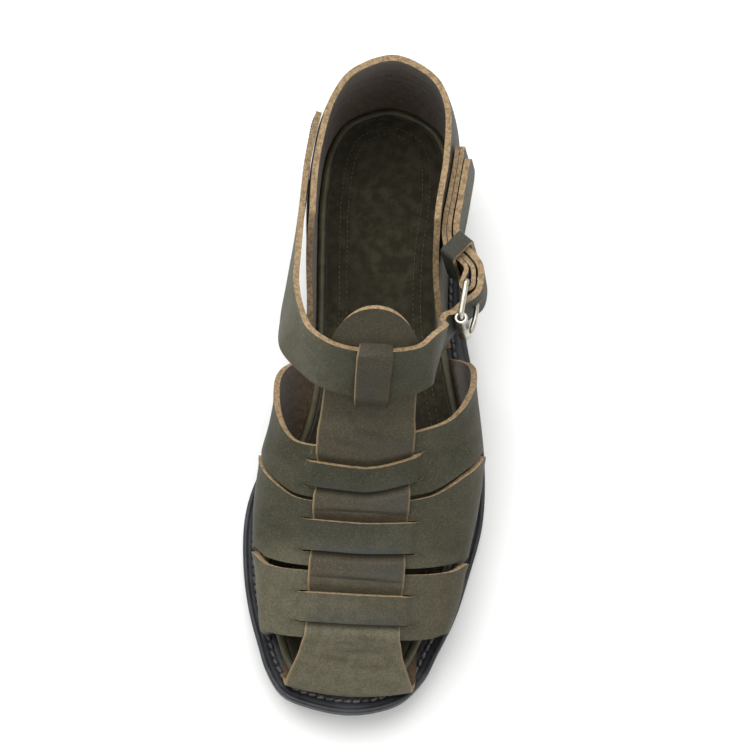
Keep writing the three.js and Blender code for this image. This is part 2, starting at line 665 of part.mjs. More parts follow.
function strapGrid() {
  const columns = [
    { side: -1 }, { side: -0.65 },
    { at: tongueMiddle - tongueHalf - slitGap / 2 },
    { at: tongueMiddle - tongueHalf + slitGap / 2, up: true },
    { at: tongueMiddle + tongueHalf - slitGap / 2, up: true },
    { at: tongueMiddle + tongueHalf + slitGap / 2 },
    { side: 0.65 }, { side: 1 },
  ];
  const outer = [];
  const inner = [];
  const put = (point) => {
    outer.push(columns.map((column) => point(column, leather)));
    inner.push(columns.map((column) => point(column, 0)));
  };
  const distanceOf = (column, half) => (column.at === undefined ? column.side * half
    : Math.sign(column.at) * Math.min(Math.abs(column.at), 0.9 * half));

  // The toe fold: under the strap, round the front and up onto the ridge
  const foldMiddle = toeFoldRadius - leather;
  const foldY = 0.0415 * soleLength;
  const foldZ = underside(foldY) + weltTop + clearance + toeFoldRadius;
  const bow = 0.012 * soleLength;
  const crown = 0.5 * leather;
  const underRows = [0.105, 0.075, 0.055];
  for (const at of underRows) {
    const y = at * soleLength;
    const half = 0.96 * toeFoldWidth / 2;
    put((column, height) => vec(distanceOf(column, half), y,
      underside(y) + weltTop + clearance + leather - height));
  }
  for (const degrees of [-90, -120, -150, -180, -210, -236]) {
    const angle = THREE.MathUtils.degToRad(degrees);
    put((column, height) => {
      const x = distanceOf(column, toeFoldWidth / 2);
      const share = (2 * x / toeFoldWidth) ** 2;
      const radius = foldMiddle + height;
      return vec(x, foldY + Math.cos(angle) * radius + bow * share,
        foldZ - crown * share * smooth((-degrees - 90) / 120) + Math.sin(angle) * radius);
    });
  }
  // Over the bands to the instep
  const joinY = foldY + 1.6;
  const flare = (y) => Math.max(along(flareRows, 'at', 'width', y / soleLength) * toeFoldWidth / 2, strapHalf);
  const flat = smoothBetween(0.047 * soleLength, 0.1 * soleLength);
  for (const row of [{ y: () => joinY, lift: 0 }, ...strapRows()]) {
    put((column, height) => {
      const nominal = row.y(0);
      const half = nominal < 0.125 * soleLength ? flare(nominal) : strapHalf;
      const distance = distanceOf(column, half);
      const y = row.y(Math.max(-slitHalf, Math.min(slitHalf, distance)));
      const onForm = lifted(y, distance, row.lift + height);
      if (flat(y) >= 1) return onForm;
      const share = (distance / half) ** 2;
      const ridge = lifted(y, 0, row.lift + height);
      const loose = vec(distance, ridge.y + bow * share * (1 - flat(y)), ridge.z - crown * share);
      return loose.lerp(onForm, flat(y));
    });
  }
  // Over the instep, past the lengthwise slits, to the round end
  const ramp = (tongueSlitLength - ankleStrapWidth) / 2 - 4 * clearance;
  const rampedFront = walkBack(tongueSlitFront, ramp);
  const rampedRear = walkBack(tongueSlitRear, -ramp);
  const tips = [0.5, 0.8, 0.95, 0.998];
  const instepRows = [
    { y: tongueSlitFront, up: 0 },
    { y: mix(tongueSlitFront, rampedFront, 0.5), up: 0.55 },
    { y: rampedFront, up: 1 },
    { y: mix(rampedFront, rampedRear, 0.5), up: 1 },
    { y: rampedRear, up: 1 },
    { y: mix(tongueSlitRear, rampedRear, 0.5), up: 0.55 },
    { y: tongueSlitRear, up: 0 },
    ...tips.map((t) => ({ y: walkBack(roundEndStart, t * strapHalf), up: 0, past: t })),
  ];
  for (const row of instepRows) {
    const half = strapHalf * Math.sqrt(1 - (row.past ?? 0) ** 2);
    put((column, height) => lifted(row.y, distanceOf(column, half),
      (column.up ? row.up * tongueLift : 0) + height));
  }
  return { outer, inner };
}

function smoothBetween(from, to) {
  return (value) => smooth((value - from) / (to - from));
}

function buildUpper() {
  const { outer, inner } = strapGrid();
  let upper = solid(sheet(outer, inner));
  for (const side of [-1, 1]) {
    const distance = tongueMiddle + side * tongueHalf;
    const ys = [0.02, 0.2, 0.4, 0.6, 0.8, 0.98].map((t) => mix(tongueSlitFront, tongueSlitRear, t));
    const cut = (height) => ys.map((y) => [-1, 1]
      .map((edge) => lifted(y, distance + edge * 0.7 * slitGap, height)));
    upper = upper.subtract(solid(sheet(cut(6 * leather), cut(-leather))));
  }
  for (const name of ['toe', 'mid', 'top']) upper = upper.add(buildBand(name));
  return geometryOf(clearOfSole(upper));
}

// Heel counter

const counterLoop = () => {
  const loop = outlineLoop((y, side) => margin(y, side) - clearance);
  const first = loop.findIndex((p) => p.y >= counterFrontAt * soleLength);
  return loop.slice(first, loop.length - first + 1);
};
const counterCurve = new THREE.CatmullRomCurve3(counterLoop());

// Inner face of the counter at a share of the way round and a share of its height
function onCounter(way, tall) {
  const p = counterCurve.getPointAt(way);
  const tangent = counterCurve.getTangentAt(way);
  const outward = vec(tangent.y, -tangent.x, 0).normalize();
  const read = (column) => along(counterRows, 'way', column, way) * counterHeight;
  const profile = [
    { tall: 0, lean: 0 },
    { tall: 0.33, lean: read('low') },
    { tall: 0.66, lean: read('middle') },
    { tall: 1, lean: read('high') },
  ];
  const base = underside(p.y) + weltTop + clearance;
  const height = tall * (read('height') + footbedTop - weltTop);
  return vec(p.x, p.y, base + height).addScaledVector(outward, -along(profile, 'tall', 'lean', tall));
}

function counterNormal(way, tall) {
  const step = 0.01;
  const w0 = Math.max(way - step, 0);
  const w1 = Math.min(way + step, 1);
  const t0 = Math.max(tall - step, 0);
  const t1 = Math.min(tall + step, 1);
  const round = onCounter(w1, tall).sub(onCounter(w0, tall));
  const up = onCounter(way, t1).sub(onCounter(way, t0));
  return round.cross(up).normalize();
}

const offCounter = (way, tall, gap) => onCounter(way, tall)
  .addScaledVector(counterNormal(way, tall), gap);

function buildCounter() {
  const across = 22;
  const tallSteps = [0, 0.2, 0.4, 0.62, 0.82, 1];
  const grid = (gap) => {
    const rows = [];
    for (let i = 0; i <= across; i += 1) {
      const t = i / across;
      rows.push(tallSteps.map((tall) => {
        const slant = 0.5 * counterSlant * tall * smooth(tall * 1.4);
        const way = mix(slant, 1 - slant, t);
        return offCounter(way, tall, gap);
      }));
    }
    return rows;
  };
  return geometryOf(clearOfSole(solid(sheet(grid(leather), grid(0)))));
}

// Strip of leather along a path. A row has its middle, the way its width points and half its
// width, or it lies on a surface given by the walk across it and the height over it
function stripGrid(rows, thickness, columns = [-1, -0.35, 0.35, 1]) {
  const outer = [];
  const inner = [];
  const middleOf = (row) => row.middle ?? row.surface(0, thickness / 2);
  rows.forEach((row, i) => {
    if (row.surface) {
      outer.push(columns.map((e) => row.surface(e * row.half, thickness)));
      inner.push(columns.map((e) => row.surface(e * row.half, 0)));
      return;
    }
    const tangent = middleOf(rows[Math.min(i + 1, rows.length - 1)]).clone()
      .sub(middleOf(rows[Math.max(i - 1, 0)])).normalize();
    const across = row.across.clone().addScaledVector(tangent, -row.across.dot(tangent)).normalize();
    const out = tangent.clone().cross(across).normalize();
    const edges = columns.map((e) => row.middle.clone().addScaledVector(across, e * row.half));
    outer.push(edges.map((p) => p.clone().addScaledVector(out, thickness / 2)));
    inner.push(edges.map((p) => p.clone().addScaledVector(out, -thickness / 2)));
  });
  return { outer, inner };
}

// The same grid with a smooth curve along each of its columns
function smoothed(grid, steps) {
  const count = (grid.length - 1) * steps;
  const curves = grid[0].map((_, j) => new THREE.CatmullRomCurve3(grid.map((row) => row[j]), false, 'centripetal'));
  return Array.from({ length: count + 1 }, (_, i) => curves.map((curve) => curve.getPoint(i / count)));
}

// Buckle frame of reference on the outer side of the ankle
const rollerMiddle = vec(0.380 * ballWidth, 0.570 * soleLength, 0);
rollerMiddle.z = underside(rollerMiddle.y) + footbedTop + 0.435 * instepHeight;
const buckleUp = vec(-0.14, -0.03, 0.985).normalize();
const buckleBack = vec(0.12, 1, 0.04);
buckleBack.addScaledVector(buckleUp, -buckleBack.dot(buckleUp)).normalize();
const buckleOut = buckleBack.clone().cross(buckleUp).normalize();
const inBuckle = (back, up, out) => rollerMiddle.clone()
  .addScaledVector(buckleBack, back).addScaledVector(buckleUp, up).addScaledVector(buckleOut, out);

const chapeTurn = buckleWire / 2 + clearance + chapeThickness / 2;
const chapeLayers = (chapeThickness + clearance) / 2;
const sewnTall = 0.66;
const outerSewn = 0.15;
const outerEnd = 0.3;
const innerEnd = 0.66;
const innerSewn = 0.78;
const upCounter = (way) => onCounter(way, 0.9).sub(onCounter(way, 0.4)).normalize();

// Middle line between the two layers of the buckle's short strap, from the bar to its sewn end
const chapeOnCounter = (way, spare) => offCounter(way, sewnTall,
  leather + 2 * clearance + chapeThickness + clearance / 2 + spare);
const chapeLine = new THREE.CatmullRomCurve3([
  inBuckle(buckleDepth, 0, 0),
  inBuckle(buckleDepth + 8, 0, -0.4),
  chapeOnCounter(0.8 * outerSewn, 2.2),
  chapeOnCounter(1.1 * outerSewn, 0.5),
  chapeOnCounter(mix(outerSewn, outerEnd, 0.5), 0.5),
  chapeOnCounter(outerEnd, 0.5),
], false, 'centripetal');

// Row of a strip that runs at a height over the middle line, at a share of its way
function besideChape(t, heightAt, half) {
  const tangent = chapeLine.getTangent(t);
  const across = buckleUp.clone().lerp(upCounter(mix(outerSewn, outerEnd, t)), smooth(t * 1.6));
  across.addScaledVector(tangent, -across.dot(tangent)).normalize();
  const out = tangent.clone().cross(across).normalize();
  return { middle: chapeLine.getPoint(t).addScaledVector(out, heightAt), across, half, out };
}
const layerGap = (t) => mix(chapeTurn, chapeLayers, smooth(t / 0.25));

function ankleRows() {
  const rows = [];
  const half = ankleStrapWidth / 2;
  const overCounter = clearance + leather / 2;
  for (const way of [innerEnd, mix(innerEnd, innerSewn, 0.5), innerSewn]) {
    rows.push({ middle: offCounter(way, sewnTall, leather + overCounter),
      across: upCounter(way), half });
  }
  const free = (row) => {
    const y = row.at * soleLength;
    const z = underside(y) + footbedTop + row.height * instepHeight;
    rows.push({ middle: vec(row.side * ballWidth, y, z),
      across: vec(row.acrossSide, row.acrossBack, row.acrossUp), half });
  };
  medialAnkleRows.forEach(free);
  for (const share of [-1, -0.68, -0.34, 0, 0.34, 0.68, 1]) {
    const distance = share * strapHalf;
    const y = (ankleCrossingAt + ankleCrossingSweep * share * share) * soleLength;
    rows.push({ surface: (walk, height) => lifted(walkBack(y, walk, distance), distance,
      leather + 2 * clearance + height), half });
  }
  lateralAnkleRows.forEach(free);
  const underRoller = -rollerDiameter / 2 - 3 * clearance - leather / 2;
  const overBar = chapeTurn + chapeThickness / 2 + 3 * clearance + leather / 2;
  const tailHalf = 0.92 * half;
  rows.push({ middle: inBuckle(0.8, 0, underRoller), across: buckleUp.clone(), half: tailHalf });
  rows.push({ middle: inBuckle(0.46 * buckleDepth, 0, 0), across: buckleUp.clone(), half: tailHalf });
  rows.push({ middle: inBuckle(0.78 * buckleDepth, 0, 0.86 * overBar), across: buckleUp.clone(), half: tailHalf });
  const overLayers = chapeThickness / 2 + clearance + leather / 2 + clearance;
  const tailRows = [[0.05, 0.4, 1], [0.18, 0.4, 1], [0.27, 0.4, 1], [0.36, 0.4, 1], [0.45, 0.4, 1],
    [0.55, 0.2, 1], [0.75, 0.1, 1], [0.9, 0, 0.85], [0.96, 0, 0.45]];
  for (const [t, spare, narrow] of tailRows) {
    rows.push(besideChape(t, layerGap(t) + overLayers + spare, narrow * tailHalf));
  }
  return rows;
}

function buildAnkleStrap() {
  const { outer, inner } = stripGrid(ankleRows(), leather);
  const strap = solid(sheet(smoothed(outer, 2), smoothed(inner, 2)));
  return geometryOf(strap.subtract(solid(prongTube(prongDiameter / 2 + clearance))));
}

// Short strap that holds the buckle: along the counter, round the bar and back over itself
function buildChape() {
  const half = 0.42 * ankleStrapWidth;
  const shares = [0.99, 0.75, 0.55, 0.45, 0.36, 0.27, 0.18, 0.09];
  const round = [-90, -60, -30, 0, 30, 60, 90].map((degrees) => {
    const angle = THREE.MathUtils.degToRad(degrees);
    return { middle: inBuckle(buckleDepth - chapeTurn * Math.cos(angle), 0, chapeTurn * Math.sin(angle)),
      across: buckleUp.clone(), half };
  });
  const { outer, inner } = stripGrid([
    ...shares.map((t) => besideChape(t, -layerGap(t), half)),
    ...round,
    ...[...shares].reverse().map((t) => besideChape(t, layerGap(t), half)),
  ], chapeThickness, [-1, 0, 1]);
  return geometryOf(solid(sheet(outer, inner)).subtract(solid(prongTube(prongDiameter / 2 + clearance))));
}

// Tube round a closed or open path with a round section
function tube(points, radius, sides, closed) {
  const rows = points.map((p, i) => {
    const before = closed ? points[(i + points.length - 1) % points.length] : points[Math.max(i - 1, 0)];
    const after = closed ? points[(i + 1) % points.length] : points[Math.min(i + 1, points.length - 1)];
    const tangent = after.clone().sub(before).normalize();
    const sideways = Math.abs(tangent.dot(buckleOut)) > 0.95 ? buckleUp.clone() : buckleOut.clone();
    const u = sideways.addScaledVector(tangent, -sideways.dot(tangent)).normalize();
    const v = tangent.clone().cross(u);
    return Array.from({ length: sides }, (_, k) => {
      const angle = (k / sides) * 2 * Math.PI;
      return p.clone().addScaledVector(u, Math.cos(angle) * radius).addScaledVector(v, Math.sin(angle) * radius);
    });
  });
  return loft(rows, { ring: closed });
}

function buildBuckleFrame() {
  const corner = 0.7 * buckleWire;
  const halfUp = rollerLength / 2 + 2 * clearance + corner;
  const corners = [[0, -1], [buckleDepth, -1], [buckleDepth, 1], [0, 1]];
  const points = [];
  corners.forEach(([back, up], i) => {
    const start = [180, 270, 0, 90][i];
    const cx = back === 0 ? corner : back - corner;
    const cy = up * (halfUp - corner);
    for (const step of [0, 30, 60, 90]) {
      const angle = THREE.MathUtils.degToRad(start + step);
      points.push(inBuckle(cx + corner * Math.cos(angle), cy + corner * Math.sin(angle), 0));
    }
  });
  return tube(points, buckleWire / 2, 8, true);
}

function buildRoller() {
  const section = (radius) => Array.from({ length: 16 }, (_, k) => {
    const angle = (k / 16) * 2 * Math.PI;
    return [Math.cos(angle) * radius, Math.sin(angle) * radius];
  });
  const bore = buckleWire / 2 + clearance;
  const half = rollerLength / 2;
  const ringAt = (radius, up) => section(radius).map(([back, out]) => inBuckle(back, up, out));
  const outerRadius = rollerDiameter / 2;
  return loft([
    ringAt(bore, -half), ringAt(outerRadius - 0.4, -half), ringAt(outerRadius, -half + 0.4),
    ringAt(outerRadius, half - 0.4), ringAt(outerRadius - 0.4, half), ringAt(bore, half),
  ], { ring: true });
}

// Prong: hooked round the bar, through the strap and down onto the roller
function prongTube(radius) {
  const r = prongDiameter / 2;
  const hook = buckleWire / 2 + clearance + r;
  const over = rollerDiameter / 2 + clearance + r;
  const points = [-150, -110, -70, -35, 0, 35, 70, 105].map((degrees) => {
    const angle = THREE.MathUtils.degToRad(degrees);
    return inBuckle(buckleDepth + hook * Math.cos(angle), 0, hook * Math.sin(angle));
  });
  points.push(inBuckle(0.62 * buckleDepth, 0, 1.05 * over), inBuckle(0.3 * buckleDepth, 0, 1.12 * over),
    inBuckle(0, 0, over), inBuckle(-0.16 * buckleDepth, 0, 0.9 * over));
  return tube(points, radius, 8, false);
}

function buildKeeper() {
  const t = 0.33;
  const stackHalf = layerGap(t) + chapeThickness / 2 + (leather + clearance) / 2 + 4 * clearance;
  const { middle, across, out } = besideChape(t, (leather + clearance) / 2 + 1.6 * clearance, 0);
  const back = across.clone().cross(out).normalize();
  const halfUp = ankleStrapWidth / 2 + clearance;
  const box = (extra, width) => merged(
    new THREE.BoxGeometry(width, 2 * (halfUp + extra), 2 * (stackHalf + extra))
      .applyMatrix4(new THREE.Matrix4().makeBasis(back, across, out).setPosition(middle)));
  return geometryOf(solid(box(keeperThickness, keeperWidth)).subtract(solid(box(0, 2 * keeperWidth))));
}

add('outsole', buildOutsole(), soleLook);
add('heel', buildHeel(), soleLook);
add('heel_lift', buildHeelLift(), soleLook);
add('welt', buildWelt(), weltLook);
add('footbed_rim', buildFootbedRim(), rimLook);
add('footbed', buildFootbed(), suedeLook);
add('upper', buildUpper(), leatherLook);
add('heel_counter', buildCounter(), leatherLook);
add('ankle_strap', buildAnkleStrap(), leatherLook);
add('buckle_chape', buildChape(), leatherLook);
add('strap_keeper', buildKeeper(), leatherLook);
add('buckle_frame', buildBuckleFrame(), metalLook);
add('buckle_roller', buildRoller(), metalLook);
add('buckle_prong', prongTube(prongDiameter / 2), metalLook);

// The group stands on the floor with its own outline centred over the origin
const extent = new THREE.Box3().setFromObject(shoe);
shoe.position.set(-(extent.min.x + extent.max.x) / 2, -(extent.min.y + extent.max.y) / 2, -extent.min.z);
shoe.updateMatrixWorld(true);

export default shoe;
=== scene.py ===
import math

import bmesh
import bpy
import numpy as np
from mathutils import Matrix, Vector


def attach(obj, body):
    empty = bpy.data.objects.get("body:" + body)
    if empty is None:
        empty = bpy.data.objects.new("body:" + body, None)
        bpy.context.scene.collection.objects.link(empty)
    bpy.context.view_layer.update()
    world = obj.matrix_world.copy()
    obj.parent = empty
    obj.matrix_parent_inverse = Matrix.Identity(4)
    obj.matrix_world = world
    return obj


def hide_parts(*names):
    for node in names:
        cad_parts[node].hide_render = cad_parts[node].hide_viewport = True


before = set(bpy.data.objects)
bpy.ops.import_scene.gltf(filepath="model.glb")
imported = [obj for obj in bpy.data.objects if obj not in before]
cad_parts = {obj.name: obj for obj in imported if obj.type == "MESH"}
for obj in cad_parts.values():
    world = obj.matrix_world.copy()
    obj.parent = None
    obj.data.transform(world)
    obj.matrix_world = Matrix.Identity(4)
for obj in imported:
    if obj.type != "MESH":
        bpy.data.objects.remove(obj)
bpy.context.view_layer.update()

MM = 0.001
scene = bpy.context.scene

# ---------------------------------------------------------------- camera
# The place that the photograph was taken from, turned to the middle of the shoe

CAMERA_PLACE = Vector((-3.6, -266.4, 843.9)) * MM
CAMERA_AIM = Vector((1.0, 3.0, 38.0)) * MM
CAMERA_YAW = math.radians(3.5)
CAMERA_LENS = 89.0


def make_camera():
    data = bpy.data.cameras.new("photo_camera")
    data.lens = CAMERA_LENS
    data.sensor_width = 36.0
    data.clip_start, data.clip_end = 0.02, 20.0
    camera = bpy.data.objects.new("photo_camera", data)
    scene.collection.objects.link(camera)
    forward = (CAMERA_AIM - CAMERA_PLACE).normalized()
    right = Vector((math.cos(CAMERA_YAW), math.sin(CAMERA_YAW), 0.0))
    right = (right - forward * right.dot(forward)).normalized()
    up = right.cross(forward)
    turn = Matrix((right, up, -forward)).transposed()
    camera.matrix_world = Matrix.Translation(CAMERA_PLACE) @ turn.to_4x4()
    scene.camera = camera


make_camera()

# ---------------------------------------------------------------- sizes
# Millimetres. While a piece is shaped, x runs to the outer side of the foot, y runs from the toe
# tip to the heel and z is the height over the floor

SOLE_LENGTH = 298.0
BALL_WIDTH = 110.5
OUTSOLE = 5.0
WELT = 4.2
FOOTBED = 5.7
WELT_MARGIN = 9.0
WELT_REACH = 6.0
LIP = 0.5
RIM = 3.8
TOE_SPRING = 11.0
HEEL_RISE = 16.4
LIFT = 5.0
HEEL_INSET = 1.2
TREAD_DEPTH = 1.2
TREAD_WIDTH = 2.4
TREAD_PITCH = 9.0
LEATHER = 2.8
INSTEP = 85.0
CENTRE_STRAP = 40.4
TOE_FOLD = 56.0
FOLD_RADIUS = 5.5
SLIT = 51.0
SLIT_GAP = 0.7
TONGUE_SLIT = 32.0
TONGUE_BRIDGE = 13.5
ANKLE_STRAP = 24.0
COUNTER = 56.0
CHAPE = 2.0
KEEPER_WIDTH = 8.0
KEEPER = 1.8
WIRE = 2.6
BUCKLE_DEPTH = 17.0
ROLLER = 6.0
ROLLER_LENGTH = 24.5
PRONG = 2.4
CLEAR = 0.3

WELT_BASE = OUTSOLE + CLEAR
WELT_TOP = WELT_BASE + WELT
FOOTBED_BASE = WELT_TOP + CLEAR
FOOTBED_TOP = FOOTBED_BASE + FOOTBED
SLIT_HALF = SLIT / 2
STRAP_HALF = CENTRE_STRAP / 2


def table(names, *rows):
    """Columns of a table by name."""
    return dict(zip(names.split(), np.array(rows, float).T))


# Outline of the sole: places as shares of its length, widths as shares of the ball width, and
# how the welt's margin changes
OUTLINE = table(
    "at medial lateral medial_margin lateral_margin",
    (0.008, 0.158, 0.131, 1.0, 1.0),
    (0.024, 0.268, 0.222, 1.0, 1.0),
    (0.060, 0.338, 0.306, 1.0, 1.0),
    (0.100, 0.380, 0.355, 1.0, 1.0),
    (0.160, 0.433, 0.425, 1.0, 1.0),
    (0.230, 0.467, 0.477, 1.0, 1.0),
    (0.300, 0.473, 0.519, 1.0, 1.0),
    (0.360, 0.438, 0.527, 1.0, 1.0),
    (0.440, 0.337, 0.510, 1.0, 1.06),
    (0.530, 0.275, 0.462, 0.69, 1.17),
    (0.620, 0.271, 0.407, 0.56, 1.17),
    (0.720, 0.288, 0.384, 0.61, 1.0),
    (0.820, 0.303, 0.389, 0.72, 0.83),
    (0.910, 0.276, 0.362, 0.78, 0.78),
    (0.966, 0.186, 0.271, 0.78, 0.78),
)
HEEL_TIP_SIDE = 0.043
BREAST_AT = 0.745

# Height of the underside: shares of the toe spring and of the heel's rise
UNDERSIDE = table(
    "at spring rise",
    (0.000, 1.000, 0),
    (0.047, 0.690, 0),
    (0.100, 0.390, 0),
    (0.168, 0.127, 0),
    (0.242, 0.000, 0),
    (0.302, 0.000, 0),
    (0.362, 0.000, 0),
    (0.436, 0, 0.134),
    (0.554, 0, 0.463),
    (0.671, 0, 0.768),
    (0.755, 0, 0.902),
    (0.872, 0, 0.976),
    (1.000, 0, 1.000),
)

# Sections of the last: the ridge's height and side, the half widths, how high it is widest and
# how full it is
LAST = table(
    "at ridge side medial lateral widest fullness",
    (0.040, 0.041, 0.000, 0.245, 0.220, 0.047, 2.2),
    (0.074, 0.155, 0.000, 0.308, 0.303, 0.094, 2.2),
    (0.117, 0.257, 0.003, 0.344, 0.356, 0.141, 2.25),
    (0.174, 0.345, 0.005, 0.369, 0.404, 0.165, 2.25),
    (0.242, 0.412, 0.007, 0.396, 0.431, 0.176, 2.2),
    (0.309, 0.482, 0.009, 0.404, 0.462, 0.188, 2.1),
    (0.376, 0.603, 0.012, 0.389, 0.478, 0.212, 2.0),
    (0.419, 0.708, 0.014, 0.364, 0.465, 0.235, 1.9),
    (0.463, 0.893, 0.018, 0.348, 0.443, 0.259, 1.8),
    (0.503, 1.080, 0.023, 0.342, 0.422, 0.282, 1.8),
    (0.544, 1.270, 0.027, 0.335, 0.398, 0.306, 1.8),
)

# Edges of the three bands at shares of the girth from the ridge down to the welt
BANDS = table(
    "girth toe_front toe_rear mid_front mid_rear top_front top_rear",
    (-1.00, 0.117, 0.232, 0.242, 0.379, 0.384, 0.560),
    (-0.68, 0.111, 0.227, 0.237, 0.372, 0.378, 0.480),
    (-0.55, 0.104, 0.203, 0.213, 0.337, 0.342, 0.440),
    (-0.35, 0.101, 0.194, 0.201, 0.298, 0.303, 0.377),
    (0.00, 0.102, 0.192, 0.199, 0.294, 0.299, 0.378),
    (0.35, 0.104, 0.196, 0.205, 0.310, 0.317, 0.411),
    (0.55, 0.110, 0.207, 0.218, 0.356, 0.364, 0.468),
    (0.68, 0.125, 0.227, 0.237, 0.388, 0.396, 0.507),
    (1.00, 0.134, 0.235, 0.245, 0.396, 0.406, 0.568),
)

# The slits' place on the ridge, and how far their inner and outer ends lie behind it
SLITS = {
    "toe": ((0.1215, 0.001, 0.003), (0.1634, 0.001, 0.002)),
    "mid": ((0.2181, 0.004, 0.007), (0.2644, 0.004, 0.008)),
    "top": ((0.3077, 0.008, 0.027), (0.3433, 0.009, 0.028)),
}

# Width of the centre strap behind its toe fold, as a share of the fold's width
FLARE = table(
    "at width",
    (0.030, 1.000),
    (0.047, 0.935),
    (0.060, 0.885),
    (0.080, 0.810),
    (0.100, 0.755),
    (0.121, 0.725),
)
ROUND_END_AT = 0.521
TONGUE_SLIT_AT = 0.4605
TONGUE_SLIT_SIDE = 0.045

# Rows of the ankle strap on each side: side, place, height, and the way that its width runs
MEDIAL_ANKLE = (
    (-0.321, 0.638, 0.487, (0.16, 0.21, 0.96)),
    (-0.325, 0.576, 0.605, (0.23, 0.46, 0.86)),
    (-0.303, 0.521, 0.738, (0.30, 0.56, 0.77)),
    (-0.238, 0.482, 0.832, (0.28, 0.56, 0.78)),
)
LATERAL_ANKLE = (
    (0.255, 0.476, 0.880, (0.07, 0.70, 0.71)),
    (0.276, 0.500, 0.760, (0.18, 0.80, 0.56)),
    (0.276, 0.528, 0.560, (0.12, 0.72, 0.67)),
    (0.294, 0.552, 0.462, (0.02, 0.38, 0.92)),
)
ANKLE_CROSSING_AT = 0.4600
ANKLE_CROSSING_SWEEP = 0.0125

# The heel cup round its way: how far it leans in at three heights, and how high it is
COUNTER_ROWS = table(
    "way low middle high height",
    (0.00, 0.070, 0.130, 0.135, 0.86),
    (0.20, 0.040, 0.095, 0.130, 0.87),
    (0.38, -0.020, 0.020, 0.100, 0.95),
    (0.50, -0.040, -0.010, 0.085, 1.00),
    (0.62, -0.030, 0.000, 0.070, 0.95),
    (0.80, -0.020, -0.030, 0.000, 0.87),
    (1.00, -0.020, -0.035, -0.020, 0.86),
)
COUNTER_FRONT_AT = 0.578
COUNTER_SLANT = 0.30

# ---------------------------------------------------------------- curves and tables


def cubic(t, start, end, leave, arrive):
    """Cubic curve between two values, with the slopes that it leaves and arrives with."""
    return ((2 * t**3 - 3 * t**2 + 1) * start + (t**3 - 2 * t**2 + t) * leave
            + (3 * t**2 - 2 * t**3) * end + (t**3 - t**2) * arrive)


def along(rows, column, value, key="at"):
    """Smooth curve through one column of a table."""
    xs, ys = rows[key], rows[column]
    q = np.clip(value, xs[0], xs[-1])
    i = np.clip(np.searchsorted(xs, q) - 1, 0, len(xs) - 2)
    before = np.clip(np.arange(len(xs)) - 1, 0, None)
    after = np.clip(np.arange(len(xs)) + 1, None, len(xs) - 1)
    slope = (ys[after] - ys[before]) / (xs[after] - xs[before])
    span = xs[i + 1] - xs[i]
    t = (q - xs[i]) / span
    return cubic(t, ys[i], ys[i + 1], span * slope[i], span * slope[i + 1])


def smooth(t):
    c = np.clip(t, 0.0, 1.0)
    return c * c * (3 - 2 * c)


def bump(value, middle, half):
    """One at the middle and nothing beyond half the width."""
    return smooth(1 - np.abs(value - middle) / half)


def unit(v):
    return v / np.maximum(np.linalg.norm(v, axis=-1, keepdims=True), 1e-12)


def vec(x, y, z):
    return np.stack(np.broadcast_arrays(x, y, z), axis=-1).astype(float)


def centripetal(points, t):
    """Centripetal curve through points, at shares of the way from the first to the last."""
    points = np.asarray(points, float)
    last = len(points) - 1
    p = np.atleast_1d(t) * last
    i = np.clip(np.floor(p).astype(int), 0, last - 1)
    w = (p - i).reshape((-1,) + (1,) * (points.ndim - 1))
    padded = np.concatenate([[2 * points[0] - points[1]], points,
                             [2 * points[-1] - points[-2]]])
    a, b, c, d = (padded[i + k] for k in range(4))
    gaps = []
    for e, f in ((a, b), (b, c), (c, d)):
        gaps.append(np.sqrt(np.linalg.norm(f - e, axis=-1, keepdims=True)))
    tiny = 1e-4
    middle = np.where(gaps[1] < tiny, 1.0, gaps[1])
    first = np.where(gaps[0] < tiny, middle, gaps[0])
    third = np.where(gaps[2] < tiny, middle, gaps[2])
    start = ((b - a) / first - (c - a) / (first + middle) + (c - b) / middle) * middle
    end = ((c - b) / middle - (d - b) / (middle + third) + (d - c) / third) * middle
    return (b + start * w + (-3 * b + 3 * c - 2 * start - end) * w**2
            + (2 * b - 2 * c + start + end) * w**3)


def run_along(line):
    """Distance along a line from its first point to each of its points."""
    return np.concatenate([[0], np.cumsum(np.linalg.norm(np.diff(line, axis=0), axis=1))])


def even(points, count=None, step=None):
    """The same line with its points at even distances."""
    run = run_along(points)
    if count is None:
        count = max(2, int(round(run[-1] / step)) + 1)
    at = np.linspace(0, run[-1], count)
    return np.stack([np.interp(at, run, points[:, k]) for k in range(3)], axis=1)


# ---------------------------------------------------------------- sole shape


def underside(y):
    share = np.asarray(y, float) / SOLE_LENGTH
    height = along(UNDERSIDE, "spring", share) * TOE_SPRING
    return np.maximum(0.0, height + along(UNDERSIDE, "rise", share) * HEEL_RISE)


def side_points(side):
    key, opposite = ("medial", "lateral") if side < 0 else ("lateral", "medial")
    y = OUTLINE["at"] * SOLE_LENGTH
    points = [(-side * OUTLINE[opposite][0] * BALL_WIDTH, y[0], 0), (0, 0, 0)]
    points += [(side * w * BALL_WIDTH, at, 0) for w, at in zip(OUTLINE[key], y)]
    points += [(HEEL_TIP_SIDE * BALL_WIDTH, SOLE_LENGTH, 0)]
    points += [(-side * OUTLINE[opposite][-1] * BALL_WIDTH, y[-1], 0)]
    return points


STATIONS = (len(OUTLINE["at"]) + 1) * 9


def outline_side(side):
    """Points from the toe tip to the heel tip on one side, with the way that points inward."""
    count = len(OUTLINE["at"]) + 3
    t = (1 + np.linspace(0, count - 2, STATIONS + 1)) / count
    points = centripetal(side_points(side), t)
    ahead = centripetal(side_points(side), t + 1e-4)
    tangent = unit(ahead - centripetal(side_points(side), t - 1e-4))
    return points, vec(-tangent[:, 1], tangent[:, 0], 0) * side


OUTLINE_SIDES = {side: outline_side(side) for side in (-1, 1)}
MARGINS = {-1: "medial_margin", 1: "lateral_margin"}


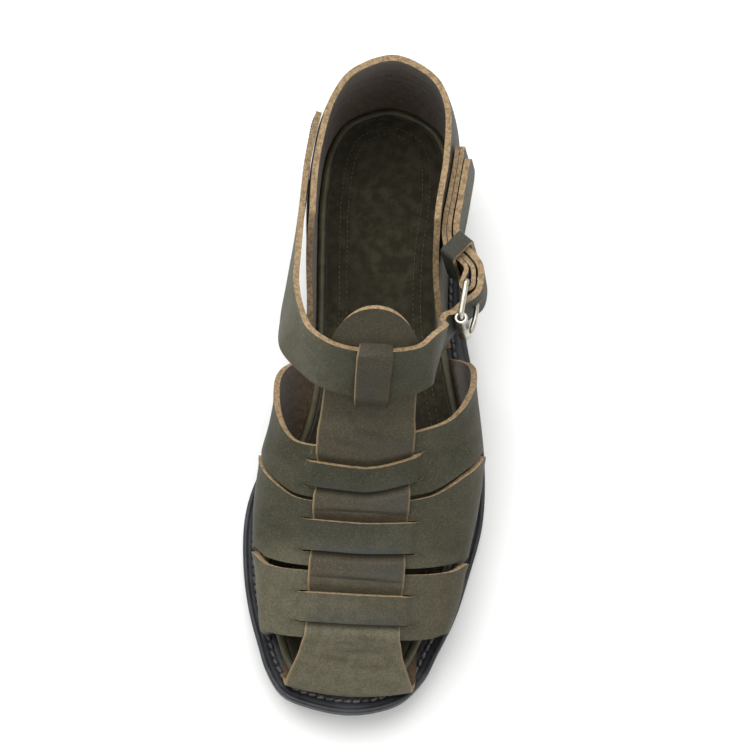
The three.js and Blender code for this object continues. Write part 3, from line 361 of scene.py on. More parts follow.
def margin(y, side):
    return WELT_MARGIN * along(OUTLINE, MARGINS[side], y / SOLE_LENGTH)


def outline_loop(inset):
    """Loop from the toe tip down the outer side to the heel and back up the inner side."""
    halves = []
    for side in (1, -1):
        points, inward = OUTLINE_SIDES[side]
        amount = inset(points[:, 1], side) if callable(inset) else np.full(len(points), inset)
        halves.append(points + inward * amount[:, None])
    return np.concatenate([halves[0], halves[1][-2:0:-1]])


def layer(inset, height):
    loop = outline_loop(inset)
    loop[:, 2] = underside(loop[:, 1]) + (height(loop[:, 1]) if callable(height) else height)
    return loop


# ---------------------------------------------------------------- last


def last_section(y, side):
    """Points of half a section of the last at many places, from the ridge to the welt."""
    share = y / SOLE_LENGTH
    read = {name: along(LAST, name, share) for name in LAST if name != "at"}
    ground = underside(y)
    floor = ground + WELT_TOP - 0.2
    top = ground + FOOTBED_TOP + read["ridge"] * INSTEP
    widest = ground + FOOTBED_TOP + read["widest"] * INSTEP
    ridge_x = read["side"] * BALL_WIDTH
    widest_x = side * read["medial" if side < 0 else "lateral"] * BALL_WIDTH
    outline = {k: np.concatenate([[0], OUTLINE[k]]) for k in ("at", "medial", "lateral")}
    sole_half = along(outline, "medial" if side < 0 else "lateral", share) * BALL_WIDTH
    foot_x = side * (sole_half - margin(y, side) + CLEAR)
    power = 2 / read["fullness"]
    turn = np.linspace(0, math.pi / 2, 61)[:, None]
    crown = vec(
        ridge_x + (widest_x - ridge_x) * np.sin(turn) ** power,
        y,
        widest + (top - widest) * np.maximum(np.cos(turn), 0) ** power,
    )
    turn = np.linspace(0, math.pi / 2, 22)[1:, None]
    wall = vec(
        widest_x + (foot_x - widest_x) * (1 - np.cos(turn)),
        y,
        widest + (floor - widest) * np.sin(turn),
    )
    return np.concatenate([crown, wall])


Y_STEP, D_STEP, WALK_STEP = 0.5, 0.4, 0.25
LAST_Y = np.arange(6.0, 172.0, Y_STEP)
LAST_D = np.arange(0.0, 140.0, D_STEP)


def last_tables():
    """The last as heights over its length and the distance from the ridge, one for each side."""
    grids, girths = {}, {}
    for side in (-1, 1):
        section = last_section(LAST_Y, side)
        steps = np.linalg.norm(np.diff(section, axis=0), axis=-1)
        run = np.concatenate([np.zeros((1, len(LAST_Y))), np.cumsum(steps, axis=0)])
        grid = np.empty((len(LAST_Y), len(LAST_D), 2))
        for i in range(len(LAST_Y)):
            grid[i, :, 0] = np.interp(LAST_D, run[:, i], section[:, i, 0])
            grid[i, :, 1] = np.interp(LAST_D, run[:, i], section[:, i, 2])
        grids[side], girths[side] = grid, run[-1]
    return grids, girths


LAST_GRIDS, LAST_GIRTHS = last_tables()


def girth(y, side):
    return np.interp(y, LAST_Y, LAST_GIRTHS[side])


def on_last(y, d):
    """Points of the last at a distance over the leather from the ridge line."""
    y, d = np.broadcast_arrays(np.asarray(y, float), np.asarray(d, float))
    rows = np.clip((y - LAST_Y[0]) / Y_STEP, 0, len(LAST_Y) - 1.001)
    i = rows.astype(int)
    fy = (rows - i)[..., None]
    out = np.zeros(y.shape + (2,))
    for side in (-1, 1):
        grid = LAST_GRIDS[side]
        reach = np.minimum(np.abs(d), girth(y, side))
        cols = np.clip(reach / D_STEP, 0, len(LAST_D) - 1.001)
        j = cols.astype(int)
        fd = (cols - j)[..., None]
        near = grid[i, j] * (1 - fd) + grid[i, j + 1] * fd
        far = grid[i + 1, j] * (1 - fd) + grid[i + 1, j + 1] * fd
        value = near * (1 - fy) + far * fy
        out = np.where((np.where(d < 0, -1, 1) == side)[..., None], value, out)
    return vec(out[..., 0], y, out[..., 1])


def last_normal(y, d):
    """The last's outward way, taken over a step that evens out its grid."""
    step = 1.2
    y, d = np.broadcast_arrays(np.asarray(y, float), np.asarray(d, float))
    around = on_last(y, d + step) - on_last(y, d - step)
    back = on_last(y + step, d) - on_last(y - step, d)
    return unit(np.cross(around, back))


def lifted(y, d, height):
    return on_last(y, d) + last_normal(y, d) * np.asarray(height, float)[..., None]


def ridge_run(d=0.0):
    """Places along the last at one distance from the ridge, and the run up to each of them."""
    ys = np.arange(LAST_Y[0], LAST_Y[-1], WALK_STEP)
    return ys, run_along(on_last(ys, np.full_like(ys, d)))


def ridge_walk(start, walk, d=0.0):
    """Place on the last at a walk behind another, at one distance from the ridge."""
    ys, run = ridge_run(d)
    return np.interp(np.interp(start, ys, run) + walk, run, ys)


# ---------------------------------------------------------------- meshes


def to_world(points):
    """Shaping frame in millimetres to the shared frame in metres."""
    return (np.asarray(points, float).reshape(-1, 3) + TOE_TIP) * MM


SOLE_LOOP = outline_loop(0.0)
TOE_TIP = -(SOLE_LOOP.min(0) + SOLE_LOOP.max(0)) / 2 * (1, 1, 0)
JOIN_DISTANCE = 0.02 * MM


def make_object(name, points, faces, skins, masks=None):
    """Mesh object from points in the shaping frame, with coinciding points joined."""
    world = to_world(points)
    keys = np.round(world / JOIN_DISTANCE).astype(np.int64)
    _, first, joined = np.unique(keys, axis=0, return_index=True, return_inverse=True)
    joined = joined.reshape(-1)
    kept = []
    for face in faces:
        ring = []
        for corner in face:
            v = int(joined[corner])
            if not ring or ring[-1] != v:
                ring.append(v)
        if len(ring) > 1 and ring[0] == ring[-1]:
            ring.pop()
        if len(set(ring)) >= 3 and len(set(ring)) == len(ring):
            kept.append(ring)
    mesh = bpy.data.meshes.new(name)
    mesh.from_pydata([tuple(p) for p in world[first]], [], kept)
    for key, values in (masks or {}).items():
        flat = np.asarray(values, np.float32).reshape(-1)[first]
        mesh.attributes.new(key, "FLOAT", "POINT").data.foreach_set("value", flat)
    mesh.polygons.foreach_set("use_smooth", [True] * len(kept))
    for skin in skins:
        mesh.materials.append(skin)
    mesh.validate()
    thing = bpy.data.objects.new(name, mesh)
    scene.collection.objects.link(thing)
    return thing


def belongs(thing, slot, *nodes):
    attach(thing, "root")
    if nodes:
        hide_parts(*nodes)
    return thing


def grid_faces(rows, columns, row_breaks=(), column_breaks=(), close=False, offset=0):
    """Quads of a grid, without the strips that follow a broken row or column."""
    faces = []
    for r in range(rows - 1):
        if r in row_breaks:
            continue
        for c in range(columns if close else columns - 1):
            if c in column_breaks:
                continue
            n = (c + 1) % columns
            here = offset + r * columns
            faces.append((here + c, here + n, here + columns + n, here + columns + c))
    return faces


def face_out(thing):
    """Turns the faces of a closed body outward."""
    body = bmesh.new()
    body.from_mesh(thing.data)
    bmesh.ops.recalc_face_normals(body, faces=body.faces)
    body.to_mesh(thing.data)
    body.free()


def closed_body(name, points, faces, skin, slot, *nodes, sharp=None):
    """Solid piece with its faces turned outward, and sharp edges above an angle."""
    thing = make_object(name, np.asarray(points).reshape(-1, 3), faces, [skin])
    face_out(thing)
    if sharp is not None:
        thing.data.set_sharp_from_angle(angle=math.radians(sharp))
    return belongs(thing, slot, *nodes)


def ring_body(name, rows, skin, slot, node, ring=False, sharp=40):
    """Closed body from loops of the outline: a ring in section, or capped across."""
    count = len(rows[0])
    loops = rows + [rows[0]] if ring else rows
    faces = grid_faces(len(loops), count, close=True)
    if ring:
        last = (len(loops) - 1) * count
        faces = [tuple(v - last if v >= last else v for v in f) for f in faces]
    else:
        half = count // 2
        for start in (0, (len(rows) - 1) * count):
            for j in range(half):
                a, b = j, j + 1
                c, d = (count - j - 1) % count, (count - j) % count
                faces.append((start + a, start + b, start + c, start + d))
    return closed_body(name, np.concatenate(rows), faces, skin, slot, node, sharp=sharp)


def modifier(thing, name, kind, **values):
    added = thing.modifiers.new(name, kind)
    for key, value in values.items():
        setattr(added, key, value)
    return added


def apply_modifiers(thing):
    """Turns the modifiers' result into the mesh itself."""
    bpy.context.view_layer.update()
    shown = thing.evaluated_get(bpy.context.evaluated_depsgraph_get())
    mesh = bpy.data.meshes.new_from_object(shown)
    old = thing.data
    thing.modifiers.clear()
    thing.data = mesh
    mesh.name = thing.name
    bpy.data.meshes.remove(old)


# Order of the skins of a piece of cut leather
GRAIN_SKIN, FLESH_SKIN, EDGE_SKIN = range(3)


def shade_front_edges(mesh, rounding):
    """Painted shade on the edges that face the toe: their rounding takes the grain's colour and the
    cut itself is brown.
    """
    for face in mesh.polygons:
        if face.material_index == EDGE_SKIN and face.normal.y < -0.2:
            corners = [mesh.vertices[k].co for k in face.vertices]
            sides = [(a - b).length for a, b in zip(corners, corners[1:] + corners[:1])]
            narrow = min(sides) < 0.9 * rounding * MM
            face.material_index = GRAIN_SKIN if narrow else FLESH_SKIN


def hide_sheet(name, node, points, masks, thickness=LEATHER, row_breaks=(), column_breaks=(),
               rounding=0.4, cutters=(), shaded_front=False):
    """Piece of cut leather from the points of its outer face: grain, flesh and cut edge."""
    rows, columns = points.shape[:2]
    faces = grid_faces(rows, columns, row_breaks, column_breaks)
    thing = make_object(name, points.reshape(-1, 3), faces, HIDE, masks)
    modifier(thing, "thickness", "SOLIDIFY", thickness=thickness * MM, offset=-1,
             use_even_offset=False, material_offset=FLESH_SKIN, material_offset_rim=EDGE_SKIN)
    apply_modifiers(thing)
    for cutter in cutters:
        modifier(thing, "hole", "BOOLEAN", object=cutter, operation="DIFFERENCE", solver="EXACT")
    if cutters:
        apply_modifiers(thing)
        for cutter in cutters:
            bpy.data.objects.remove(cutter)
    modifier(thing, "rounding", "BEVEL", width=rounding * MM, segments=2,
             limit_method="ANGLE", angle_limit=math.radians(50), profile=0.6,
             material=EDGE_SKIN)
    apply_modifiers(thing)
    # Painted shade: the edges that face the toe get the darker grain and flesh skins
    if shaded_front:
        shade_front_edges(thing.data, rounding)
    thing.data.polygons.foreach_set("use_smooth", [True] * len(thing.data.polygons))
    modifier(thing, "shading", "WEIGHTED_NORMAL", weight=60, keep_sharp=True)
    return belongs(thing, "upper_leather", node)


def tube_points(path, radius, sides, out, closed=False):
    """Rings of a round tube round a path. The radius may change along it."""
    path = np.asarray(path, float)
    radius = np.broadcast_to(np.asarray(radius, float), (len(path),))
    if closed:
        tangent = unit(np.roll(path, -1, 0) - np.roll(path, 1, 0))
    else:
        tangent = unit(np.gradient(path, axis=0))
    side = np.broadcast_to(np.asarray(out, float), path.shape)
    u = unit(side - tangent * np.sum(side * tangent, 1, keepdims=True))
    v = np.cross(tangent, u)
    angle = np.linspace(0, 2 * math.pi, sides, endpoint=False)
    ring = np.cos(angle)[:, None] * u[:, None] + np.sin(angle)[:, None] * v[:, None]
    return path[:, None] + ring * radius[:, None, None]


def tube_faces(rings, sides, closed=False, offset=0):
    faces = grid_faces(rings + (1 if closed else 0), sides, close=True, offset=offset)
    total = rings * sides
    faces = [tuple(offset + (v - offset) % total for v in f) for f in faces]
    if not closed:
        faces.append(tuple(offset + k for k in range(sides)))
        faces.append(tuple(offset + total - 1 - k for k in range(sides)))
    return faces


# ---------------------------------------------------------------- finishes


def tone(code):
    """Colour from its six hexadecimal digits, for a shader's socket."""
    parts = [int(code[k:k + 2], 16) / 255 for k in (0, 2, 4)]
    linear = [c / 12.92 if c <= 0.04045 else ((c + 0.055) / 1.055) ** 2.4 for c in parts]
    return (*linear, 1.0)


def plug(tree, socket, value):
    """Links another socket to this one, or sets its value."""
    if isinstance(value, bpy.types.NodeSocket):
        tree.links.new(value, socket)
    else:
        socket.default_value = value


def place(tree, kind, sockets=None, out=0, **settings):
    """Adds a node, sets or links its sockets, and gives back one of its outputs."""
    node = tree.nodes.new(kind)
    for key, value in settings.items():
        setattr(node, key, value)
    for key, value in (sockets or {}).items():
        plug(tree, node.inputs[key], value)
    return node.outputs[out]


def maths(tree, operation, a, b, clamp=False):
    return place(tree, "ShaderNodeMath", {0: a, 1: b}, operation=operation, use_clamp=clamp)


def times(tree, a, b, clamp=False):
    return maths(tree, "MULTIPLY", a, b, clamp)


def stretched(tree, at, scale):
    return place(tree, "ShaderNodeVectorMath", {0: at, 1: scale}, operation="MULTIPLY")


def noise(tree, at, scale, detail, roughness=0.5, distortion=0.0):
    sockets = {"Vector": at, "Scale": scale, "Detail": detail, "Roughness": roughness,
               "Distortion": distortion}
    return place(tree, "ShaderNodeTexNoise", sockets)


def band_of(tree, value, low, high, to_low=0.0, to_high=1.0):
    sockets = {"Value": value, "From Min": low, "From Max": high, "To Min": to_low,
               "To Max": to_high}
    return place(tree, "ShaderNodeMapRange", sockets, interpolation_type="SMOOTHSTEP")


def blend(tree, factor, first, second):
    """Mix of two colours. The colours' sockets are the node's seventh, eighth and third."""
    return place(tree, "ShaderNodeMix", {0: factor, 6: first, 7: second}, out=2,
                 data_type="RGBA", blend_type="MIX")


def painted(tree, name):
    """Strength of a mask painted on the points, which is nothing on a piece without it."""
    return place(tree, "ShaderNodeAttribute", out=2, attribute_name=name)


def millimetres(tree):
    """Place on the object in millimetres."""
    at = tree.nodes.new("ShaderNodeTexCoord").outputs["Object"]
    return stretched(tree, at, (1000.0, 1000.0, 1000.0))


def new_group(name, outputs, **inputs):
    """Group of nodes with numbers in and out. The inputs come with their usual values."""
    tree = bpy.data.node_groups.new(name, "ShaderNodeTree")
    kind = "NodeSocketFloat"
    for label, value in inputs.items():
        label = label.replace("_", " ")
        tree.interface.new_socket(label, in_out="INPUT", socket_type=kind).default_value = value
    for label in outputs.split():
        tree.interface.new_socket(label, in_out="OUTPUT", socket_type=kind)
    result = tree.nodes.new("NodeGroupOutput").inputs
    return tree, tree.nodes.new("NodeGroupInput").outputs, result


def give(tree, result, **values):
    for label, value in values.items():
        tree.links.new(value, result[label])
    return tree


def use_group(tree, group, **values):
    node = tree.nodes.new("ShaderNodeGroup")
    node.node_tree = group
    for key, value in values.items():
        plug(tree, node.inputs[key.replace("_", " ")], value)
    return node.outputs


def hide_grain_group():
    """Grain of oiled hide: its height, its pores and the clouds of its dye."""
    tree, given, result = new_group("hide_grain", "Height Pores Clouds Mottle Nap",
                                    Grain_size=1.0, Cloud_size=22.0)
    at = millimetres(tree)
    fine = maths(tree, "DIVIDE", 1.0, given["Grain size"])
    cells = place(tree, "ShaderNodeTexVoronoi", {"Vector": at, "Scale": fine, "Randomness": 1.0},
                  feature="SMOOTH_F1")
    wrinkle = noise(tree, at, fine, 5.0, 0.65)
    pores = band_of(tree, noise(tree, at, times(tree, fine, 2.3), 2.0, 0.5), 0.60, 0.74)
    broad = maths(tree, "DIVIDE", 1.0, given["Cloud size"])
    clouds = noise(tree, at, broad, 4.0, 0.6, 0.4)
    mottle = noise(tree, at, times(tree, broad, 6.0), 4.0, 0.62)
    nap = noise(tree, at, times(tree, fine, 0.72), 4.0, 0.75, 0.3)
    height = maths(tree, "ADD", times(tree, cells, 0.5), wrinkle)
    height = maths(tree, "SUBTRACT", height, times(tree, pores, 0.8))
    return give(tree, result, Height=height, Pores=pores, Clouds=clouds, Mottle=mottle, Nap=nap)


def scratches_group():
    """Fine pale scratches and rubbed streaks that follow the hide's length."""
    tree, given, result = new_group("scratches", "Marks Streaks", Amount=0.5, Turn=0.4)
    at = millimetres(tree)
    turned = place(tree, "ShaderNodeVectorRotate", {"Vector": at, "Angle": given["Turn"]},
                   rotation_type="Z_AXIS")
    drawn = stretched(tree, turned, (0.9, 0.035, 0.2))
    lines = band_of(tree, noise(tree, drawn, 1.0, 2.0, 0.55, 0.15), 0.665, 0.70)
    where = band_of(tree, noise(tree, at, 0.045, 2.0), 0.50, 0.62)
    marks = times(tree, times(tree, lines, where), given["Amount"])
    soft = stretched(tree, turned, (0.30, 0.05, 0.12))
    streaks = band_of(tree, noise(tree, soft, 1.0, 3.0, 0.6, 0.3), 0.45, 0.70)
    streaks = times(tree, streaks, given["Amount"])
    return give(tree, result, Marks=marks, Streaks=streaks)


def fibre_group():
    """Loose fibres of raw or napped leather: their height and two sizes of fleck."""
    tree, given, result = new_group("raw_fibres", "Height Flecks Tufts", Fibre_size=0.5)
    at = millimetres(tree)
    fine = maths(tree, "DIVIDE", 1.0, given["Fibre size"])
    height = noise(tree, at, fine, 4.0, 0.7, 0.8)
    flecks = band_of(tree, noise(tree, at, times(tree, fine, 1.4), 3.0, 0.6, 0.5),
                     0.55, 0.68)
    tufts = noise(tree, at, times(tree, fine, 0.22), 4.0, 0.6, 0.6)
    return give(tree, result, Height=height, Flecks=flecks, Tufts=tufts)


GRAIN = hide_grain_group()
SCRATCHES = scratches_group()
FIBRES = fibre_group()


def finish_of(name):
    material = bpy.data.materials.new(name)
    material.use_nodes = True
    tree = material.node_tree
    shader = tree.nodes["Principled BSDF"]
    return material, tree, shader


def set_shader(tree, shader, color, rough, height, strength, depth, **fixed):
    """Colour, roughness and bump of a finish. The bump's depth is in millimetres."""
    plug(tree, shader.inputs["Base Color"], color)
    plug(tree, shader.inputs["Roughness"], rough)
    normal = place(tree, "ShaderNodeBump",
                   {"Height": height, "Strength": strength, "Distance": depth * MM})
    plug(tree, shader.inputs["Normal"], normal)
    for key, value in fixed.items():
        shader.inputs[key.replace("_", " ")].default_value = value


def grain_leather(name, dark, light, warm, painted_light_tone, rubbed, scuffed):
    """Oiled leather with clouded dye, blue rubbed places, worn cut edges, painted shade in its
    folds and painted light.
    """
    material, tree, shader = finish_of(name)
    grain = use_group(tree, GRAIN, Grain_size=0.55, Cloud_size=30.0)
    marks = use_group(tree, SCRATCHES, Amount=1.0, Turn=0.35)
    base = blend(tree, band_of(tree, grain["Clouds"], 0.34, 0.68), dark, light)
    base = blend(tree, times(tree, painted(tree, "warm"), 0.8), base, warm)
    # Painted light: the pale mask lightens the toe and the inner side, where the light falls most
    base = blend(tree, times(tree, painted(tree, "pale"), 0.75), base, painted_light_tone)
    base = blend(tree, band_of(tree, grain["Mottle"], 0.38, 0.70, 0.0, 0.32), base, dark)
    base = blend(tree, band_of(tree, grain["Nap"], 0.46, 0.62, 0.0, 0.40), base, tone("2a291f"))
    base = blend(tree, band_of(tree, grain["Nap"], 0.36, 0.48, 0.18, 0.0), base, scuffed)
    rub = times(tree, painted(tree, "rub"),
                band_of(tree, grain["Mottle"], 0.28, 0.66, 0.5, 1.0), clamp=True)
    base = blend(tree, rub, base, rubbed)
    base = blend(tree, times(tree, marks["Streaks"], 0.22), base, light)
    scuff = times(tree, painted(tree, "scuff"), marks["Marks"], clamp=True)
    base = blend(tree, scuff, base, scuffed)
    base = blend(tree, times(tree, grain["Pores"], 0.25), base, dark)
    # Painted shade: the fold mask darkens the creases, the folds and the slits, where shade falls
    fold = times(tree, painted(tree, "fold"), 0.6, clamp=True)
    base = blend(tree, fold, base, tone("1f1e18"))
    worn = times(tree, painted(tree, "bare"), 0.85, clamp=True)
    base = blend(tree, worn, base, tone("a08863"))
    rough = band_of(tree, grain["Clouds"], 0.3, 0.7, 0.66, 0.56)
    rough = maths(tree, "SUBTRACT", rough, times(tree, rub, 0.08))
    height = maths(tree, "ADD", grain["Height"], times(tree, scuff, -0.6))
    set_shader(tree, shader, base, rough, height, 0.30, 0.13, Specular_IOR_Level=0.22)
    return material


def fibres_finish(name, dark, light, fleck, size, flecks, low, high, rough, strength, depth,
                  **fixed):
    """Bare fibres in dark and light tufts with flecks of a third colour."""
    material, tree, shader = finish_of(name)
    fibres = use_group(tree, FIBRES, Fibre_size=size)
    color = blend(tree, band_of(tree, fibres["Tufts"], low, high), dark, light)
    color = blend(tree, times(tree, fibres["Flecks"], flecks), color, fleck)
    set_shader(tree, shader, color, rough, fibres["Height"], strength, depth, **fixed)
    return material


def suede(name, dark, light):
    """Dark napped suede of the footbed, brushed in patches."""
    material, tree, shader = finish_of(name)
    fibres = use_group(tree, FIBRES, Fibre_size=0.38)
    grain = use_group(tree, GRAIN, Grain_size=1.3, Cloud_size=30.0)
    color = blend(tree, band_of(tree, grain["Mottle"], 0.36, 0.68), dark, light)
    color = blend(tree, band_of(tree, grain["Clouds"], 0.40, 0.70, 0.0, 0.6), color, dark)
    color = blend(tree, times(tree, fibres["Flecks"], 0.4), color, light)
    set_shader(tree, shader, color, 0.95, fibres["Height"], 0.75, 0.3, Specular_IOR_Level=0.15,
               Sheen_Weight=0.35, Sheen_Roughness=0.5)
    return material


def smooth_leather(name, dark, light, rough=0.48, size=0.6, depth=0.08):
    """Smooth finished leather or leather board."""
    material, tree, shader = finish_of(name)
    grain = use_group(tree, GRAIN, Grain_size=size, Cloud_size=14.0)
    marks = use_group(tree, SCRATCHES, Amount=0.5, Turn=1.2)
    color = blend(tree, band_of(tree, grain["Clouds"], 0.35, 0.68), dark, light)
    color = blend(tree, times(tree, grain["Pores"], 0.3), color, dark)
    color = blend(tree, times(tree, marks["Streaks"], 0.3), color, light)
    value = band_of(tree, grain["Mottle"], 0.3, 0.7, rough - 0.07, rough + 0.09)
    set_shader(tree, shader, color, value, grain["Height"], 0.35, depth, Specular_IOR_Level=0.42)
    return material


def thread(name, dark, light, ply):
    """Waxed thread with its turned strands."""
    return fibres_finish(name, tone(dark), tone(light), tone(dark), size=ply, flecks=0.4,
                         low=0.35, high=0.65, rough=0.6, strength=0.6, depth=0.12)


def nickel(name):
    """Satin nickel with tumbled wear."""
    material, tree, shader = finish_of(name)
    grain = use_group(tree, GRAIN, Grain_size=0.5, Cloud_size=5.0)
    marks = use_group(tree, SCRATCHES, Amount=1.0, Turn=0.9)
    color = blend(tree, band_of(tree, grain["Clouds"], 0.4, 0.7), tone("a8a598"), tone("cbc9bf"))
    color = blend(tree, times(tree, grain["Pores"], 0.35), color, tone("6c685c"))
    rough = band_of(tree, grain["Mottle"], 0.3, 0.7, 0.24, 0.40)
    rough = maths(tree, "ADD", rough, times(tree, marks["Streaks"], 0.12))
    set_shader(tree, shader, color, rough, grain["Height"], 0.15, 0.04, Metallic=1.0)
    return material


UPPER = grain_leather("olive_leather", dark=tone("303023"), light=tone("3f3e2f"),
                      warm=tone("473e31"), painted_light_tone=tone("6a6552"), rubbed=tone("33373a"),
                      scuffed=tone("7d775c"))
FLESH = fibres_finish("flesh_side", tone("483928"), tone("5f4e39"), tone("241d15"), size=0.55,
                      flecks=0.65, low=0.36, high=0.66, rough=0.92, strength=0.6, depth=0.25,
                      Specular_IOR_Level=0.2, Sheen_Weight=0.25, Sheen_Roughness=0.6)
EDGE = fibres_finish("cut_edge", tone("77634a"), tone("a78f6d"), tone("5a4a33"), size=0.34,
                     flecks=0.5, low=0.32, high=0.66, rough=0.85, strength=0.7, depth=0.25,
                     Specular_IOR_Level=0.25)
HIDE = (UPPER, FLESH, EDGE)
SUEDE = suede("footbed_suede", tone("262316"), tone("3c3829"))
RIM_HIDE = smooth_leather("rim_leather", tone("3e3b28"), tone("565139"))
WELT_HIDE = smooth_leather("welt_leather", tone("1b1c1f"), tone("303236"), 0.45, 0.5)
SOLE_RUBBER = smooth_leather("sole_rubber", tone("1b1b1d"), tone("2f2f32"), 0.55, 0.8, 0.06)
WELT_THREAD = thread("welt_thread", "29292b", "5a5756", 0.5)
BED_THREAD = thread("footbed_thread", "332f21", "4f4a37", 0.3)
SEAM_THREAD = thread("seam_thread", "3c3929", "5e5a42", 0.3)
METAL = nickel("satin_nickel")

# ---------------------------------------------------------------- sole pieces


def make_outsole():
    """Sole with rounded edges whose bottom, inside them, is the ribbed tread."""
    rounding = 1.2
    recess = 3 * rounding
    ring_body("outsole_body", [
        layer(recess, TREAD_DEPTH + 0.4),
        layer(recess, 0.0),
        layer(1.6 * rounding, 0.03),
        layer(rounding, 0.12),
        layer(0.5 * rounding, 0.5),
        layer(0.15 * rounding, rounding),
        layer(0, OUTSOLE / 2),
        layer(0, OUTSOLE - 1.0),
        layer(0.15 * rounding, OUTSOLE - 0.4),
        layer(0.6 * rounding, OUTSOLE),
    ], SOLE_RUBBER, "sole_rubber", "outsole")
    make_tread(recess - 0.05)


def make_tread(inset):
    """Bottom of the sole between its edges, with the cross grooves at the ball."""
    first = 0.1 * SOLE_LENGTH
    grooves = np.arange(first, 0.42 * SOLE_LENGTH, TREAD_PITCH)
    ys = list(np.linspace(5.0, first - 3.0, 10)) + list(np.linspace(130, SOLE_LENGTH - 5.0, 60))
    half, wall = TREAD_WIDTH / 2, 0.3
    for middle in grooves:
        ys += [middle - half - wall, middle - half, middle + half, middle + half + wall]
        ys += [middle + TREAD_PITCH / 2]
    ys = np.array(sorted(ys))
    depth = np.zeros_like(ys)
    for middle in grooves:
        depth[np.abs(ys - middle) < half + 0.01] = TREAD_DEPTH
    loop = outline_loop(inset)
    outer = loop[:STATIONS + 1]
    inner = np.concatenate([loop[:1], loop[:STATIONS - 1:-1]])
    left = np.interp(ys, inner[:, 1], inner[:, 0])
    right = np.interp(ys, outer[:, 1], outer[:, 0])
    shares = np.linspace(0, 1, 15)
    flat = np.minimum(shares, 1 - shares) > 0.03
    x = left[:, None] + (right - left)[:, None] * shares
    z = underside(ys)[:, None] + depth[:, None] * flat
    lower = vec(x, ys[:, None], z)
    upper = vec(x, ys[:, None], underside(ys)[:, None] + TREAD_DEPTH + 0.8)
    rows, columns = x.shape
    block = np.concatenate([lower, upper[:, ::-1]], axis=1)
    faces = grid_faces(rows, 2 * columns, close=True)
    for start in (0, (rows - 1) * 2 * columns):
        for j in range(columns - 1):
            faces.append((start + j, start + j + 1,
                          start + 2 * columns - 2 - j, start + 2 * columns - 1 - j))
    closed_body("tread", block, faces, SOLE_RUBBER, "sole_rubber", sharp=25)


def heel_loops(levels):
    """Loops of the outline behind the breast, each with its inset and height."""
    loops = []
    for inset, height in levels:
        loop = outline_loop(inset)
        behind = loop[loop[:, 1] > BREAST_AT * SOLE_LENGTH]
        first, last = behind[0].copy(), behind[-1].copy()
        first[1] = last[1] = BREAST_AT * SOLE_LENGTH
        across = [last + (first - last) * t for t in np.linspace(0, 1, 12)[1:-1]]
        whole = np.concatenate([[first], behind, [last], across])
        whole[:, 2] = height(whole[:, 1])
        loops.append(whole)
    return loops


def make_heel_block(name, node, levels):
    loops = heel_loops(levels)
    loops = [even(np.concatenate([loop, loop[:1]]), 141)[:-1] for loop in loops]
    count, last = len(loops[0]), (len(loops) - 1) * len(loops[0])
    faces = grid_faces(len(loops), count, close=True)
    faces += [tuple(range(count)), tuple(range(last, last + count))]
    closed_body(name, np.concatenate(loops), faces, SOLE_RUBBER, "sole_rubber", node, sharp=35)


def make_heel():
    """Heel block with the line between its two layers, and its top piece."""
    seat = lambda y: underside(y) - 0.1
    share = lambda t: lambda y: LIFT + CLEAR + (seat(y) - LIFT - CLEAR) * t
    flat = lambda z: lambda y: np.full_like(y, z)
    groove = 0.35
    make_heel_block("heel_stack", "heel", [
        (HEEL_INSET, share(0.0)),
        (HEEL_INSET - 0.1, share(0.04)),
        (0.8 * HEEL_INSET, share(0.47)),
        (0.8 * HEEL_INSET + groove, share(0.49)),
        (0.8 * HEEL_INSET + groove, share(0.52)),
        (0.75 * HEEL_INSET, share(0.54)),
        (0.3 * HEEL_INSET, share(0.97)),
        (0.4 * HEEL_INSET, share(1.0)),
    ])
    make_heel_block("heel_top_piece", "heel_lift", [
        (HEEL_INSET + 0.9, flat(0.0)),
        (HEEL_INSET + 0.3, flat(0.15)),
        (HEEL_INSET, flat(0.6)),
        (HEEL_INSET, flat(LIFT - 0.3)),
        (HEEL_INSET + 0.2, flat(LIFT)),
    ])


# Share of the welt's margin at which the channel of its seam lies
SEAM_SHARE = 0.62


def make_welt():
    """Welt with a rounded lip near its outer edge and the channel of the stitches."""
    inner = lambda y, side: margin(y, side) + WELT_REACH
    seam = lambda extra: lambda y, side: SEAM_SHARE * margin(y, side) + extra
    rows = [
        layer(inner, WELT_BASE),
        layer(0.6, WELT_BASE),
        layer(0.1, WELT_BASE + 0.35),
        layer(0.0, WELT_BASE + 0.9),
        layer(0.0, WELT_TOP - LIP - 0.3),
        layer(0.25, WELT_TOP - 0.45),
        layer(0.75, WELT_TOP - 0.12),
        layer(1.25, WELT_TOP),
        layer(1.8, WELT_TOP - 0.12),
        layer(2.3, WELT_TOP - 0.45),
        layer(2.9, WELT_TOP - LIP - 0.05),
        layer(seam(-1.3), WELT_TOP - LIP),
        layer(seam(-0.9), WELT_TOP - LIP - 0.35),
        layer(seam(0.0), WELT_TOP - LIP - 0.55),
        layer(seam(0.9), WELT_TOP - LIP - 0.35),
        layer(seam(1.3), WELT_TOP - LIP),
        layer(lambda y, side: margin(y, side) - 0.4, WELT_TOP - LIP),
        layer(inner, WELT_TOP - LIP),
    ]
    ring_body("welt_strip", rows, WELT_HIDE, "welt_leather", "welt", ring=True, sharp=50)


def make_rim():
    """Binding round the footbed, with a round top."""
    edge = lambda extra: lambda y, side: margin(y, side) + extra
    crown = 2.0
    shoulder = FOOTBED_TOP - crown - 0.4
    rows = [layer(edge(0.2), FOOTBED_BASE), layer(edge(0), shoulder)]
    for angle in np.linspace(0, math.pi, 11):
        rows.append(layer(edge(0.5 * RIM * (1 - math.cos(angle))),
                          FOOTBED_TOP - crown + crown * math.sin(angle) ** 0.8))
    rows += [layer(edge(RIM), shoulder), layer(edge(RIM), FOOTBED_BASE)]
    ring_body("footbed_binding", rows, RIM_HIDE, "rim_leather", "footbed_rim",
              ring=True, sharp=60)


def bed_edge(extra):
    return lambda y, side: margin(y, side) + RIM + 0.1 + extra


BED_DROP = 0.3


